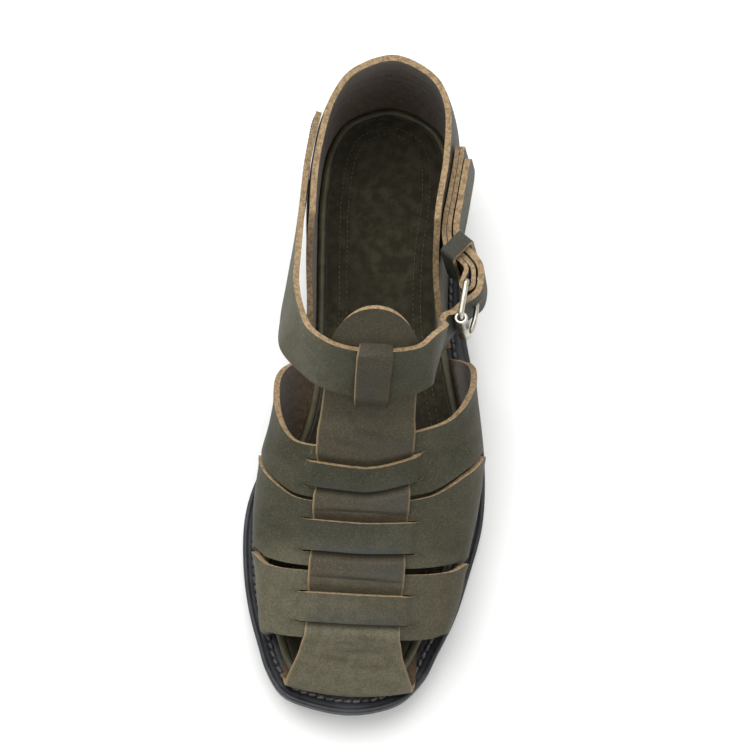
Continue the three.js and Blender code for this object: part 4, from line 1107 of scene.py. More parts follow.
def make_footbed():
    """Padded footbed with a grid of points across it."""
    profile = [(0.0, -1.6), (0.25, -0.9), (0.8, -0.45), (1.8, -BED_DROP)]
    loops = [layer(bed_edge(inset), FOOTBED_TOP + drop) for inset, drop in profile]
    shell = np.array([layer(bed_edge(0.0), FOOTBED_BASE)] + loops)
    levels, count = shell.shape[:2]
    faces = grid_faces(levels, count, close=True)
    half = count // 2
    across = 26
    top = shell[-1]
    shares = np.linspace(0, 1, across + 1)
    dish = 0.5 * np.sin(math.pi * shares) ** 2
    points = [shell.reshape(-1, 3)]
    for j in range(half + 1):
        a, b = top[j], top[(count - j) % count]
        line = a + (b - a) * shares[:, None]
        line[:, 2] = underside(line[:, 1]) + FOOTBED_TOP - BED_DROP - dish
        points.append(line)
    faces += grid_faces(half + 1, across + 1, offset=levels * count)
    faces += [(j, j + 1, (count - j - 1) % count, (count - j) % count) for j in range(half)]
    closed_body("suede_footbed", np.concatenate(points), faces, SUEDE, "footbed_suede",
                "footbed", sharp=60)


def stitches(name, paths, skin, slot, pitch, length, radius, sides, sink, slant=0.0):
    """Row of separate thread stitches along paths of points with their outward ways."""
    points, faces = [], []
    rings = 7
    for path, up in paths:
        line = even(path, step=pitch)
        shares, knots = np.linspace(0, 1, len(line)), np.linspace(0, 1, len(up))
        ups = np.stack([np.interp(shares, knots, up[:, k]) for k in range(3)], axis=1)
        ahead = unit(np.gradient(line, axis=0))
        for p, t, u in zip(line[:-1], ahead, unit(ups)):
            side = np.cross(u, t)
            t = unit(t + slant * side)
            s = np.linspace(-1, 1, rings)
            rise = radius * (0.55 * (1 - s**4) - sink)
            spine = p + t * s[:, None] * length / 2 + u * rise[:, None]
            width = radius * np.sqrt(np.maximum(1 - s**6, 0.06))
            faces += tube_faces(rings, sides, offset=len(points) * rings * sides)
            points.append(tube_points(spine, width, sides, u).reshape(-1, 3))
    belongs(make_object(name, np.concatenate(points), faces, [skin]), slot)


def closed_line(inset, height):
    loop = layer(inset, height)
    return np.concatenate([loop, loop[:1]])


def seam_inset(y, side):
    """Place of the welt's seam: by the footbed's rim at the toe, close outside the bands behind."""
    width = margin(y, side)
    beside = np.maximum(0.45 * width, width - LEATHER - 1.2)
    return SEAM_SHARE * width + (beside - SEAM_SHARE * width) * smooth((y - 28) / 14)


def make_sole_stitches():
    """Thick seam of the welt and two fine rows round the footbed."""
    up = np.array([[0, 0, 1.0]] * 2)
    seam = closed_line(seam_inset, WELT_TOP - LIP - 0.35)
    stitches("welt_stitches", [(seam, up)], WELT_THREAD, "welt_leather", pitch=4.0, length=3.6,
             radius=0.95, sides=8, sink=0.0, slant=0.16)
    height = FOOTBED_TOP - BED_DROP - 0.02
    rows = [(closed_line(bed_edge(inset), height), up) for inset in (6.4, 9.9)]
    stitches("footbed_stitches", rows, BED_THREAD, "footbed_suede", pitch=2.5, length=1.8,
             radius=0.27, sides=6, sink=-0.1)


make_outsole()
make_heel()
make_welt()
make_rim()
make_footbed()
make_sole_stitches()

# ---------------------------------------------------------------- cross bands and centre strap

BRIDGE_LIFT = LEATHER - 0.15
OVER_BAND = LEATHER + 0.1
UNDER_BRIDGE = 0.1


def slit_line(slit, d):
    at, medial, lateral = slit
    bow = np.where(d < 0, medial, lateral) * np.abs(d / SLIT_HALF) ** 1.6
    return SOLE_LENGTH * (at + bow)


def bridge_rise(d):
    start = STRAP_HALF + 0.6
    return BRIDGE_LIFT * (1 - smooth((np.abs(d) - start) / (SLIT_HALF - start)))


def both_girths(y, side):
    return np.where(side < 0, girth(y, -1), girth(y, 1))


def crease_shape(y, d, at, off, turn, reach, width):
    """One in the middle of a crease on the last, and nothing beyond its reach."""
    u = (y - at) * math.cos(turn) + (d - off) * math.sin(turn)
    v = (d - off) * math.cos(turn) - (y - at) * math.sin(turn)
    return np.exp(-((u / width) ** 2)) * smooth(1 - np.abs(v) / reach)


# Columns of a band on each wing and between the slits' ends, and its rows before, between and
# behind the slits
WING, BETWEEN = 65, 61
BAND_ROWS = (10, 16, 12)


def make_band(name, rub_centre, warm_side):
    """Cross band from welt to welt, raised between its two slits to let the strap through."""
    front_slit, rear_slit = SLITS[name]
    wings = np.linspace(0, 1, WING + 1)[1:]
    middle = np.linspace(-SLIT_HALF, SLIT_HALF, BETWEEN)
    side = np.concatenate([-np.ones(WING), np.where(middle < 0, -1.0, 1.0), np.ones(WING)])
    wing = np.concatenate([wings[::-1], np.zeros(BETWEEN), wings])
    centre = wing == 0
    fixed = np.concatenate([np.full(WING, -SLIT_HALF), middle, np.full(WING, SLIT_HALF)])

    def distance(y):
        return np.where(centre, fixed,
                        side * (SLIT_HALF + (both_girths(y, side) - SLIT_HALF) * wing))

    def edge(column):
        y = np.full(len(side), rear_slit[0] * SOLE_LENGTH)
        for _ in range(6):
            share = distance(y) / both_girths(y, side)
            y = along(BANDS, column, share, "girth") * SOLE_LENGTH
        return y

    front, rear = edge(name + "_front"), edge(name + "_rear")
    shares = []
    for slit, settled in ((front_slit, 0.27), (rear_slit, 0.73)):
        line = (slit_line(slit, fixed) - front) / (rear - front)
        ends = np.where(side < 0, line[WING], line[WING + BETWEEN - 1])
        shares.append(np.where(centre, line, ends + (settled - ends) * smooth(wing / 0.35)))
    gap = np.where(centre, SLIT_GAP * np.sqrt(np.maximum(0, 1 - np.abs(fixed / SLIT_HALF) ** 6)), 0)
    low = front + shares[0] * (rear - front)
    high = front + shares[1] * (rear - front)
    rise = np.where(centre, bridge_rise(fixed), 0)
    rows = []
    spans = [(front, low - gap / 2, 0), (low + gap / 2, high - gap / 2, 1),
             (high + gap / 2, rear, 0)]
    for (start, end, raised), count in zip(spans, BAND_ROWS):
        for t in np.linspace(0, 1, count):
            curl = (0.12 * np.sin(math.pi * t) + 0.45 * t**5) * rise / BRIDGE_LIFT
            rows.append((start + (end - start) * t, raised * (rise + curl)))
    ys = np.array([row[0] for row in rows])
    lifts = np.array([row[1] for row in rows])
    ds = np.array([distance(y) for y in ys])
    # The fold mask is painted shade at the slits' ends and in the creases
    fold = np.zeros_like(ys)
    for slit in (front_slit, rear_slit):
        for end in (-SLIT_HALF, SLIT_HALF):
            near = ((ds - end) / 3.4) ** 2 + ((ys - slit_line(slit, np.array(end))) / 1.6) ** 2
            lifts = lifts - 0.28 * np.exp(-near)
            fold = fold + 0.7 * np.exp(-2 * near)
    for *crease, depth in BAND_CREASES[name]:
        shape = crease_shape(ys, ds, *crease)
        lifts = lifts - depth * shape
        fold = fold + np.maximum(depth, 0) * shape
    rear_curl = 0.8 * np.exp(-(((rear - ys) / 3.0) ** 2))
    lifts = lifts + rear_curl * smooth(wing / 0.3) * (1 - smooth((wing - 0.8) / 0.2))
    reach = smooth((STRAP_HALF + 4 - np.abs(ds)) / 9)
    step = np.linspace(0, 1, BAND_ROWS[1])[:, None]
    worn_edges = 0.9 * np.exp(-((step / 0.32) ** 2)) + 0.2 * np.exp(-(((1 - step) / 0.2) ** 2))
    rub = np.zeros_like(ys)
    rub[BAND_ROWS[0]:-BAND_ROWS[2]] = 0.1 + worn_edges
    rub = rub_centre * rub * reach
    warm = 0.1 + warm_side * smooth((ds + 10) / 60)
    scuff = 0.12 + np.exp(-(((ds + 38) / 12) ** 2) - (((ys - 100) / 9) ** 2)) * (name != "toe")
    points = lifted(ys, ds, lifts + LEATHER)
    # The pale mask is painted light: paler towards the toe and on the inner side, where the light
    # falls most
    pale = smooth((76 - ys) / 20) * (0.56 - 0.36 * np.tanh(ds / 24))
    masks = {"rub": rub, "fold": fold, "warm": warm, "scuff": scuff, "pale": pale}
    breaks = (BAND_ROWS[0] - 1, BAND_ROWS[0] + BAND_ROWS[1] - 1)
    hide_sheet("band_" + name, "upper", points, masks, row_breaks=breaks, shaded_front=True)


# Soft creases of each band: place behind the toe tip, distance from the ridge, turn from the
# band's own length, reach, width and depth (below zero it is a ridge)
BAND_CREASES = {
    "toe": (
        (43.0, -44.0, 0.3, 12.0, 1.6, 0.22), (52.0, 40.0, -0.25, 14.0, 1.8, 0.20),
        (46.0, 34.0, 0.1, 9.0, 2.2, -0.18), (58.0, -52.0, 0.2, 10.0, 1.8, 0.2),
    ),
    "mid": (
        (76.0, -36.0, 0.45, 15.0, 1.5, 0.28), (84.0, -44.0, 0.5, 14.0, 1.6, 0.24),
        (71.0, 38.0, -0.2, 16.0, 2.0, 0.22), (88.0, 46.0, -0.5, 12.0, 2.0, 0.22),
        (80.0, 33.0, -0.3, 10.0, 2.4, -0.2),
    ),
    "top": (
        (104.0, -32.0, 0.6, 12.0, 1.6, 0.3), (116.0, -46.0, 0.7, 14.0, 1.8, 0.26),
        (112.0, 36.0, -0.5, 14.0, 1.8, 0.24), (126.0, 48.0, -0.6, 14.0, 2.2, 0.22),
    ),
}

TONGUE_MIDDLE = TONGUE_SLIT_SIDE * STRAP_HALF
TONGUE_HALF = TONGUE_BRIDGE / 2
# How far the tongue's slits run on before their middle, how high the bridge between them stands,
# how much its two edges differ in height, and over which share of each side it rises
TONGUE_SLIT_FRONT = 19.5
TONGUE_LIFT = LEATHER + 2.35
TONGUE_ROLL = 0.55
TONGUE_RISE_FRONT, TONGUE_RISE_REAR = 0.45, 0.36


def slit_bow(y, d):
    """How far a line across the centre strap lies behind its middle, between the slits."""
    slits = [slit for pair in SLITS.values() for slit in pair]
    places = [slit[0] * SOLE_LENGTH for slit in slits]
    places = np.array([places[0] - 12] + places + [places[-1] + 0.085 * SOLE_LENGTH])
    bows = np.array([(0, 0)] + [slit[1:] for slit in slits] + [(0, 0)])
    medial = np.interp(y, places, bows[:, 0])
    lateral = np.interp(y, places, bows[:, 1])
    share = np.minimum(np.abs(d / SLIT_HALF), 1) ** 1.6
    return SOLE_LENGTH * np.where(d < 0, medial, lateral) * share


def strap_lift_knots():
    """Height of the centre strap's inner face over the last: under the bridges, over the bands."""
    knots = [(0.085 * SOLE_LENGTH, 0.0)]
    for name, pair in SLITS.items():
        front, rear = (slit[0] * SOLE_LENGTH for slit in pair)
        if name == "toe":
            knots += [(front - 8.0, 0.5 * LEATHER), (front - 5.0, OVER_BAND)]
        knots += [
            (front - 3.6, OVER_BAND - 0.1),
            (front - 0.5, UNDER_BRIDGE + 0.3),
            (front + 1.6, UNDER_BRIDGE),
            (rear - 1.6, UNDER_BRIDGE),
            (rear + 0.4, UNDER_BRIDGE + 0.3),
            (rear + 3.9, OVER_BAND - 0.15),
            (rear + 5.6, OVER_BAND),
            (rear + 8.2, OVER_BAND - 0.08),
        ]
    knots += [(rear + 13.0, OVER_BAND - 0.3), (rear + 20.0, 0.5), (rear + 26.0, 0.0),
              (rear + 60.0, 0.0)]
    return np.array(knots)


LIFT_KNOTS = strap_lift_knots()


def strap_lift(y):
    """Smooth steps between the knots of the strap's height."""
    xs, zs = LIFT_KNOTS[:, 0], LIFT_KNOTS[:, 1]
    i = np.clip(np.searchsorted(xs, y) - 1, 0, len(xs) - 2)
    t = np.clip((y - xs[i]) / (xs[i + 1] - xs[i]), 0, 1)
    return zs[i] + (zs[i + 1] - zs[i]) * (0.35 * t + 0.65 * smooth(t))


# Columns of the centre strap that the tongue's slits open behind
LEFT_SLIT, RIGHT_SLIT, STRAP_COLUMNS = 14, 29, 44


def strap_columns():
    """Distances over the strap's width in three runs that meet at the tongue's two slits."""
    left, right = TONGUE_MIDDLE - TONGUE_HALF, TONGUE_MIDDLE + TONGUE_HALF
    base = np.concatenate([
        np.linspace(-STRAP_HALF, left, LEFT_SLIT + 1),
        np.linspace(left, right, RIGHT_SLIT - LEFT_SLIT),
        np.linspace(right, STRAP_HALF, STRAP_COLUMNS - RIGHT_SLIT - 1),
    ])
    opening, raised = np.zeros(STRAP_COLUMNS), np.zeros(STRAP_COLUMNS)
    opening[[LEFT_SLIT, RIGHT_SLIT]] = -1
    opening[[LEFT_SLIT + 1, RIGHT_SLIT + 1]] = 1
    raised[LEFT_SLIT + 1:RIGHT_SLIT + 1] = 1
    return base, opening, raised


UNDER_ROWS = 12


def toe_fold_rows(base):
    """Rows of the fold: under the strap, round the front and up towards the ridge."""
    rows = []
    share = base / STRAP_HALF
    fold_y = 0.0415 * SOLE_LENGTH
    fold_z = underside(fold_y) + WELT_TOP - LIP + FOLD_RADIUS + 0.25
    bow, crown = 0.012 * SOLE_LENGTH, 0.5 * LEATHER
    x = share * TOE_FOLD / 2
    spread = 0.06
    for at in np.linspace(0.105, 0.052, UNDER_ROWS):
        y = at * SOLE_LENGTH
        rows.append(vec((1 + spread) * x, y, underside(y) + WELT_TOP - LIP + 0.25))
    for angle in np.radians(-np.linspace(90, 236, 22)):
        turned = -math.degrees(angle) - 90
        settled = smooth(turned / 120)
        rows.append(vec(
            x * (1 + spread - spread * smooth(turned / 90)),
            fold_y + math.cos(angle) * FOLD_RADIUS + bow * share**2,
            fold_z - crown * share**2 * settled + math.sin(angle) * FOLD_RADIUS,
        ))
    join = fold_y + 1.6
    for y in np.arange(join, 0.1 * SOLE_LENGTH, 0.9):
        half = max(float(along(FLARE, "width", y / SOLE_LENGTH)) * TOE_FOLD / 2, STRAP_HALF)
        flat = smooth((y - 0.047 * SOLE_LENGTH) / (0.053 * SOLE_LENGTH))
        d = share * half
        height = strap_lift(y) + LEATHER
        ridge = lifted(y, 0.0, height)
        loose = vec(d, ridge[1] + bow * share**2 * (1 - flat), ridge[2] - crown * share**2)
        rows.append(loose + (lifted(y + slit_bow(y, d), d, height) - loose) * flat)
    return rows, y


def strap_wrinkles(y, d):
    """Fine folds of the centre strap at the toe and below the tongue's slits."""
    return sum(depth * crease_shape(y, d, *crease) for *crease, depth in STRAP_CREASES)


# Creases of the centre strap, in the same order as those of a band
STRAP_CREASES = (
    (21.0, -6.0, 0.08, 15.0, 0.9, 0.16), (24.5, 4.0, -0.06, 17.0, 0.9, 0.14),
    (28.0, -3.0, 0.05, 16.0, 1.0, 0.12), (18.5, 8.0, -0.1, 12.0, 1.0, 0.14),
    (31.5, 6.0, 0.02, 12.0, 0.9, 0.10), (55.0, 0.0, 0.023, 40.0, 0.62, 0.42),
    (56.3, 0.0, 0.023, 40.0, 0.8, -0.22), (53.2, 6.0, 0.0, 16.0, 0.4, 0.14),
    (83.6, 0.0, 0.0, 40.0, 0.62, 0.42), (84.9, 0.0, 0.0, 40.0, 0.8, -0.22),
    (85.6, 8.0, -0.02, 20.0, 0.4, 0.14), (119.0, -5.0, 0.9, 7.0, 0.8, 0.08),
    (121.0, 9.0, -0.9, 7.0, 0.8, 0.08), (124.0, -9.0, 0.7, 6.0, 0.9, 0.07),
    (116.0, 2.0, 0.1, 14.0, 1.1, 0.12), (112.0, -6.0, 0.2, 10.0, 1.0, 0.10),
)


def make_centre_strap():
    """Strap from under the toe, through the bands, over the tongue's slits to its round end."""
    base, opening, raised = strap_columns()
    rows, last_y = toe_fold_rows(base)
    toe_rows = len(rows)
    ys = [row[:, 1] for row in rows]
    ds = [base] * toe_rows
    inner_bare, outer_bare = 0.8, 0.4
    edges = np.zeros(STRAP_COLUMNS)
    edges[0], edges[-1] = inner_bare, outer_bare
    bare = [edges] * toe_rows
    front = ridge_walk(TONGUE_SLIT_AT * SOLE_LENGTH, -TONGUE_SLIT / 2)
    end_start = ridge_walk(ROUND_END_AT * SOLE_LENGTH, -STRAP_HALF)
    steep_y = 112.0
    nominal = list(np.arange(last_y + 0.8, steep_y, 0.75))
    walked = ridge_walk(steep_y, np.arange(0.9, 200, 0.9))
    nominal += list(walked[walked < end_start - 0.2]) + [end_start]
    run_y, run = ridge_run()
    slit_middle = np.interp(front, run_y, run) + TONGUE_SLIT / 2
    for y in nominal:
        walk = float(np.interp(y, run_y, run) - slit_middle)
        u = -walk / TONGUE_SLIT_FRONT if walk < 0 else walk / (TONGUE_SLIT / 2)
        gap = SLIT_GAP / 2 * math.sqrt(max(0.0, 1 - u**8))
        t = (1 - u) / (TONGUE_RISE_FRONT if walk < 0 else TONGUE_RISE_REAR)
        t = min(1.0, max(0.0, t))
        rise = 0.4 * float(smooth(t)) + 0.6 * (1 - (1 - t) ** 2)
        roll = TONGUE_ROLL * (1 - (base - TONGUE_MIDDLE) / TONGUE_HALF)
        up = (TONGUE_LIFT + roll) * rise
        d = base + opening * gap
        y_line = y + slit_bow(y, d)
        lift = strap_lift(y) + raised * up - strap_wrinkles(y_line, d)
        rows.append(lifted(y_line, d, lift + LEATHER))
        bare.append(edges + min(1.0, 3 * rise) * (opening == 1) * raised)
        ys.append(y_line)
        ds.append(d)
    for turn in np.linspace(0, math.pi / 2, 15)[1:]:
        y = ridge_walk(end_start, STRAP_HALF * math.sin(turn))
        d = base * math.cos(turn)
        rows.append(lifted(np.full_like(d, y), d, np.full_like(d, LEATHER)))
        bare.append(0 * edges)
        ys.append(np.full_like(d, y))
        ds.append(d)
    points, ys, ds = np.array(rows), np.array(ys), np.array(ds)
    evenings = 6
    for _ in range(evenings):
        part = points[UNDER_ROWS:toe_rows + evenings]
        part[1:-1] = 0.25 * part[:-2] + 0.5 * part[1:-1] + 0.25 * part[2:]
    rub = np.zeros_like(ys)
    for name, amount in (("toe", 0.45), ("mid", 0.4), ("top", 0.3)):
        rear = SLITS[name][1][0] * SOLE_LENGTH
        rub = np.maximum(rub, amount * bump(ys, rear + 9.5, 7.0) * smooth((ds + 16) / 30))
    rub = rub + 0.45 * bump(ys, TONGUE_SLIT_AT * SOLE_LENGTH - 3, 15.0) * bump(ds, -1.0, 10.0)
    # Painted shade in the strap's wrinkles and along the slits where it runs under the bridges
    fold = 4.2 * strap_wrinkles(ys, ds)
    for slit in (slit for pair in SLITS.values() for slit in pair):
        near = np.abs(ys - slit_line(slit, ds))
        fold = fold + 0.9 * np.exp(-((near / 1.4) ** 2))
    # The pale mask is painted light, paler towards the toe
    masks = {"rub": rub, "fold": fold, "warm": 1 - 0.3 * smooth((ys - 100) / 40),
             "pale": smooth((60 - ys) / 24), "bare": bare}
    hide_sheet("centre_strap", "upper", points, masks, column_breaks=(LEFT_SLIT, RIGHT_SLIT),
               rounding=0.5, shaded_front=True)


make_band("toe", rub_centre=0.6, warm_side=0.8)
make_band("mid", rub_centre=0.7, warm_side=0.2)
make_band("top", rub_centre=0.4, warm_side=0.1)
make_centre_strap()

# ---------------------------------------------------------------- heel counter


def counter_path():
    loop = outline_loop(lambda y, side: margin(y, side) - CLEAR)
    return even(loop[loop[:, 1] >= COUNTER_FRONT_AT * SOLE_LENGTH], 400)


COUNTER_PATH = counter_path()
COUNTER_WAY = np.linspace(0, 1, len(COUNTER_PATH))
COUNTER_OUT = unit(np.cross(np.gradient(COUNTER_PATH, axis=0), (0, 0, 1)))
LEAN_KNOTS = np.array([0, 0.33, 0.66, 1.0])


def on_counter(way, tall):
    """Inner face of the heel cup at shares of the way round and of its height."""
    way, tall = np.broadcast_arrays(np.asarray(way, float), np.asarray(tall, float))
    pick = lambda values: np.interp(way, COUNTER_WAY, values)
    p = vec(pick(COUNTER_PATH[:, 0]), pick(COUNTER_PATH[:, 1]), 0)
    out = unit(vec(pick(COUNTER_OUT[:, 0]), pick(COUNTER_OUT[:, 1]), 0))
    read = {name: along(COUNTER_ROWS, name, way, "way") for name in COUNTER_ROWS if name != "way"}
    leans = [np.zeros_like(way)] + [read[k] * COUNTER for k in ("low", "middle", "high")]
    slopes = [(leans[b] - leans[a]) / (LEAN_KNOTS[b] - LEAN_KNOTS[a])
              for a, b in ((0, 1), (0, 2), (1, 3), (2, 3))]
    i = np.clip(np.searchsorted(LEAN_KNOTS, tall) - 1, 0, 2)
    span = LEAN_KNOTS[i + 1] - LEAN_KNOTS[i]
    t = (np.clip(tall, 0, 1) - LEAN_KNOTS[i]) / span
    take = lambda values, k: np.take_along_axis(np.stack(values), k[None], axis=0)[0]
    lean = cubic(t, take(leans, i), take(leans, i + 1),
                 span * take(slopes, i), span * take(slopes, i + 1))
    height = tall * (read["height"] * COUNTER + FOOTBED_TOP - WELT_TOP)
    p[..., 2] = underside(p[..., 1]) + WELT_TOP + CLEAR + height
    return p - out * lean[..., None]


def off_counter(way, tall, gap):
    """Points at a gap outside the inner face of the heel cup."""
    way, tall = np.broadcast_arrays(np.asarray(way, float), np.asarray(tall, float))
    step = 0.01
    w0, w1 = np.clip(way - step, 0, 1), np.clip(way + step, 0, 1)
    t0, t1 = np.clip(tall - step, 0, 1), np.clip(tall + step, 0, 1)
    normal = unit(np.cross(on_counter(w1, tall) - on_counter(w0, tall),
                           on_counter(way, t1) - on_counter(way, t0)))
    return on_counter(way, tall) + normal * np.asarray(gap, float)[..., None]


def make_counter():
    """Heel cup from its slanted front edge round the heel, with soft creases."""
    lowest = -0.012
    tall = np.concatenate([[lowest], np.linspace(0, 1, 46)[1:]])[:, None]
    t = np.linspace(0, 1, 171)
    slant = 0.5 * COUNTER_SLANT * tall * smooth(tall * 1.4)
    way = slant + (1 - 2 * slant) * t
    sag = np.zeros(np.broadcast(way, tall).shape)
    for at, high, reach, width, depth in COUNTER_CREASES:
        across = np.exp(-(((tall - high) / width) ** 2))
        sag = sag + depth * across * smooth(1 - np.abs(way - at) / reach)
    points = off_counter(way, tall, LEATHER - sag)
    rub = 0.5 * smooth((tall - 0.75) / 0.25) * np.ones_like(sag)
    # The fold mask paints shade into the heel cup's creases
    hide_sheet("heel_cup", "heel_counter", points, {"rub": rub, "fold": np.maximum(sag, 0) * 2})


# Soft creases of the heel cup: way round, height, reach, width and depth
COUNTER_CREASES = (
    (0.50, 0.55, 0.16, 0.035, 0.35), (0.45, 0.66, 0.12, 0.03, 0.3), (0.57, 0.44, 0.12, 0.03, 0.3),
    (0.22, 0.42, 0.10, 0.04, 0.2), (0.80, 0.5, 0.10, 0.04, 0.22), (0.5, 0.9, 0.2, 0.06, -0.3),
)

make_counter()

# ---------------------------------------------------------------- ankle strap and buckle

ROLLER_AT = np.array([0.380 * BALL_WIDTH, 0.570 * SOLE_LENGTH, 0.0])
ROLLER_AT[2] = underside(ROLLER_AT[1]) + FOOTBED_TOP + 0.435 * INSTEP
BUCKLE_UP = unit(np.array([-0.14, -0.03, 0.985]))
BUCKLE_BACK = np.array([0.12, 1.0, 0.04])
BUCKLE_BACK = unit(BUCKLE_BACK - BUCKLE_UP * BUCKLE_BACK.dot(BUCKLE_UP))
BUCKLE_OUT = np.cross(BUCKLE_BACK, BUCKLE_UP)


def in_buckle(back, up, out):
    """Place from the roller: to the rear, up along it and outward."""
    back, up, out = (np.asarray(v, float)[..., None] for v in (back, up, out))
    return ROLLER_AT + BUCKLE_BACK * back + BUCKLE_UP * up + BUCKLE_OUT * out


CHAPE_TURN = WIRE / 2 + CLEAR + CHAPE / 2
CHAPE_LAYERS = (CHAPE + CLEAR) / 2
SEWN_TALL = 0.66
OUTER_SEWN, OUTER_END = 0.15, 0.3
INNER_END, INNER_SEWN = 0.66, 0.78


def up_counter(way):
    return unit(on_counter(way, 0.9) - on_counter(way, 0.4))


def chape_on_counter(way, spare):
    return off_counter(way, SEWN_TALL, LEATHER + 2 * CLEAR + CHAPE + CLEAR / 2 + spare)


CHAPE_LINE = np.array([
    in_buckle(BUCKLE_DEPTH, 0, 0),
    in_buckle(BUCKLE_DEPTH + 8, 0, -0.4),
    chape_on_counter(0.8 * OUTER_SEWN, 2.2),
    chape_on_counter(1.1 * OUTER_SEWN, 0.5),
    chape_on_counter((OUTER_SEWN + OUTER_END) / 2, 0.5),
    chape_on_counter(OUTER_END, 0.5),
])


def beside_chape(t, height):
    """Middle and width direction of a row at a height over the chape's middle line."""
    p = centripetal(CHAPE_LINE, t)[0]
    tangent = unit(centripetal(CHAPE_LINE, min(t + 1e-3, 1))[0]
                   - centripetal(CHAPE_LINE, max(t - 1e-3, 0))[0])
    w = smooth(t * 1.6)
    across = BUCKLE_UP * (1 - w) + up_counter(OUTER_SEWN + (OUTER_END - OUTER_SEWN) * t) * w
    across = unit(across - tangent * across.dot(tangent))
    out = np.cross(tangent, across)
    return p + out * height, across, out


def layer_gap(t):
    return CHAPE_TURN + (CHAPE_LAYERS - CHAPE_TURN) * float(smooth(t / 0.25))


def strip_points(rows, shares):
    """Points of a strip's middle surface from rows of a middle, a width direction and a half."""
    middles = np.array([row[0] for row in rows])
    points, normals = [], []
    for i, (middle, across, half) in enumerate(rows):
        tangent = unit(middles[min(i + 1, len(rows) - 1)] - middles[max(i - 1, 0)])
        across = unit(across - tangent * np.dot(across, tangent))
        points.append(middle + across * (shares * half)[:, None])
        normals.append(np.tile(np.cross(tangent, across), (len(shares), 1)))
    return np.array(points), np.array(normals)


def smooth_rows(points, steps):
    count = (len(points) - 1) * steps
    return centripetal(points, np.linspace(0, 1, count + 1))


def ankle_rows(table_rows, half):
    """Rows of the strap from shares of the shoe's sizes, and the way of its width."""
    rows = []
    for side, at, height, across in table_rows:
        y = at * SOLE_LENGTH
        z = underside(y) + FOOTBED_TOP + height * INSTEP
        rows.append((np.array([side * BALL_WIDTH, y, z]), np.array(across), half))
    return rows


def crossing_rows(widths):
    """Rows of the ankle strap's outer face over the centre strap, dipped under the bridge."""
    rows = []
    for share in (-1, -0.68, -0.34, 0, 0.34, 0.68, 1):
        d = share * STRAP_HALF
        y = (ANKLE_CROSSING_AT + ANKLE_CROSSING_SWEEP * share**2) * SOLE_LENGTH
        dip = 1.15 * float(smooth((TONGUE_HALF + 0.5 - abs(d - TONGUE_MIDDLE)) / 2.5))
        walks = ridge_walk(y, widths, d)
        rows.append(lifted(walks, np.full_like(walks, d), LEATHER + 0.35 - dip + LEATHER))
    return rows


def make_ankle_strap():
    """Strap from the inner side of the heel cup over the instep to its tail at the buckle."""
    shares = np.linspace(1, -1, 21)
    half = ANKLE_STRAP / 2
    rows = []
    for way in (INNER_END, (INNER_END + INNER_SEWN) / 2, INNER_SEWN):
        middle = off_counter(way, SEWN_TALL, LEATHER + CLEAR + LEATHER / 2)
        rows.append((middle, up_counter(way), half))
    rows += ankle_rows(MEDIAL_ANKLE, half)
    before = len(rows)
    rows += ankle_rows(LATERAL_ANKLE, half)
    under_roller = -ROLLER / 2 - 3 * CLEAR - LEATHER / 2
    over_bar = CHAPE_TURN + CHAPE / 2 + 3 * CLEAR + LEATHER / 2
    tail_half = 0.92 * half
    rows += [
        (in_buckle(0.8, 0.0, under_roller), BUCKLE_UP, tail_half),
        (in_buckle(0.46 * BUCKLE_DEPTH, 0.0, 0.0), BUCKLE_UP, tail_half),
        (in_buckle(0.78 * BUCKLE_DEPTH, 0.0, 0.86 * over_bar), BUCKLE_UP, tail_half),
    ]
    over = CHAPE / 2 + CLEAR + LEATHER / 2 + CLEAR
    for t, spare in ((0.05, 0.4), (0.18, 0.4), (0.27, 0.4), (0.36, 0.4), (0.45, 0.4),
                     (0.55, 0.2), (0.75, 0.1), (0.9, 0.0)):
        rows.append((*beside_chape(t, layer_gap(t) + over + spare)[:2], tail_half))
    points, normals = strip_points(rows, shares)
    points = points + normals * LEATHER / 2
    points = np.concatenate([points[:before], crossing_rows(shares * half), points[before:]])
    points = smooth_rows(points, 7)
    points = np.concatenate([points[:-1], round_tail(points)])
    holes = [round_cutter(in_buckle(0.70 * BUCKLE_DEPTH, 0, 3.0), BUCKLE_OUT, 1.7, 9.0)]
    for t in (0.44, 0.62, 0.80):
        middle, _, out = beside_chape(t, layer_gap(t) + over)
        holes.append(round_cutter(middle, out, 1.25, 3.4))
    flat = points.reshape(-1, 3)
    rub = np.exp(-(((flat - in_buckle(0, 0, -4)) ** 2).sum(1) / 14.0**2)) * 0.8
    rub = rub + 0.2 * np.exp(-((flat[:, 1] - TONGUE_SLIT_AT * SOLE_LENGTH) ** 2) / 60)
    # Painted light: paler on the inner side, where more light falls
    pale = 0.08 + 0.5 * smooth(-flat[:, 0] / 30)
    hide_sheet("ankle_strap_hide", "ankle_strap", points, {"rub": rub, "pale": pale},
               cutters=holes)


def round_tail(rows):
    """Rounded end of the strap's tail, drawn on from its last rows."""
    last, before = rows[-1], rows[-2]
    ahead = unit(last - before)
    middle = last[len(last) // 2]
    reach = 0.45 * ANKLE_STRAP / 2
    added = [last]
    for turn in np.linspace(0, math.pi / 2, 9)[1:]:
        narrow = 1 - 0.42 * (1 - math.cos(turn))
        added.append(middle + (last - middle) * narrow + ahead * reach * math.sin(turn))
    return np.array(added)


def round_cutter(middle, out, radius, depth):
    """Round punch that cuts a hole."""
    out = unit(out)
    path = np.array([middle - out * depth / 2, middle + out * depth / 2])
    sides = 20
    points = tube_points(path, radius, sides, BUCKLE_UP)
    thing = make_object("punch", points.reshape(-1, 3), tube_faces(2, sides), [EDGE])
    face_out(thing)
    return thing


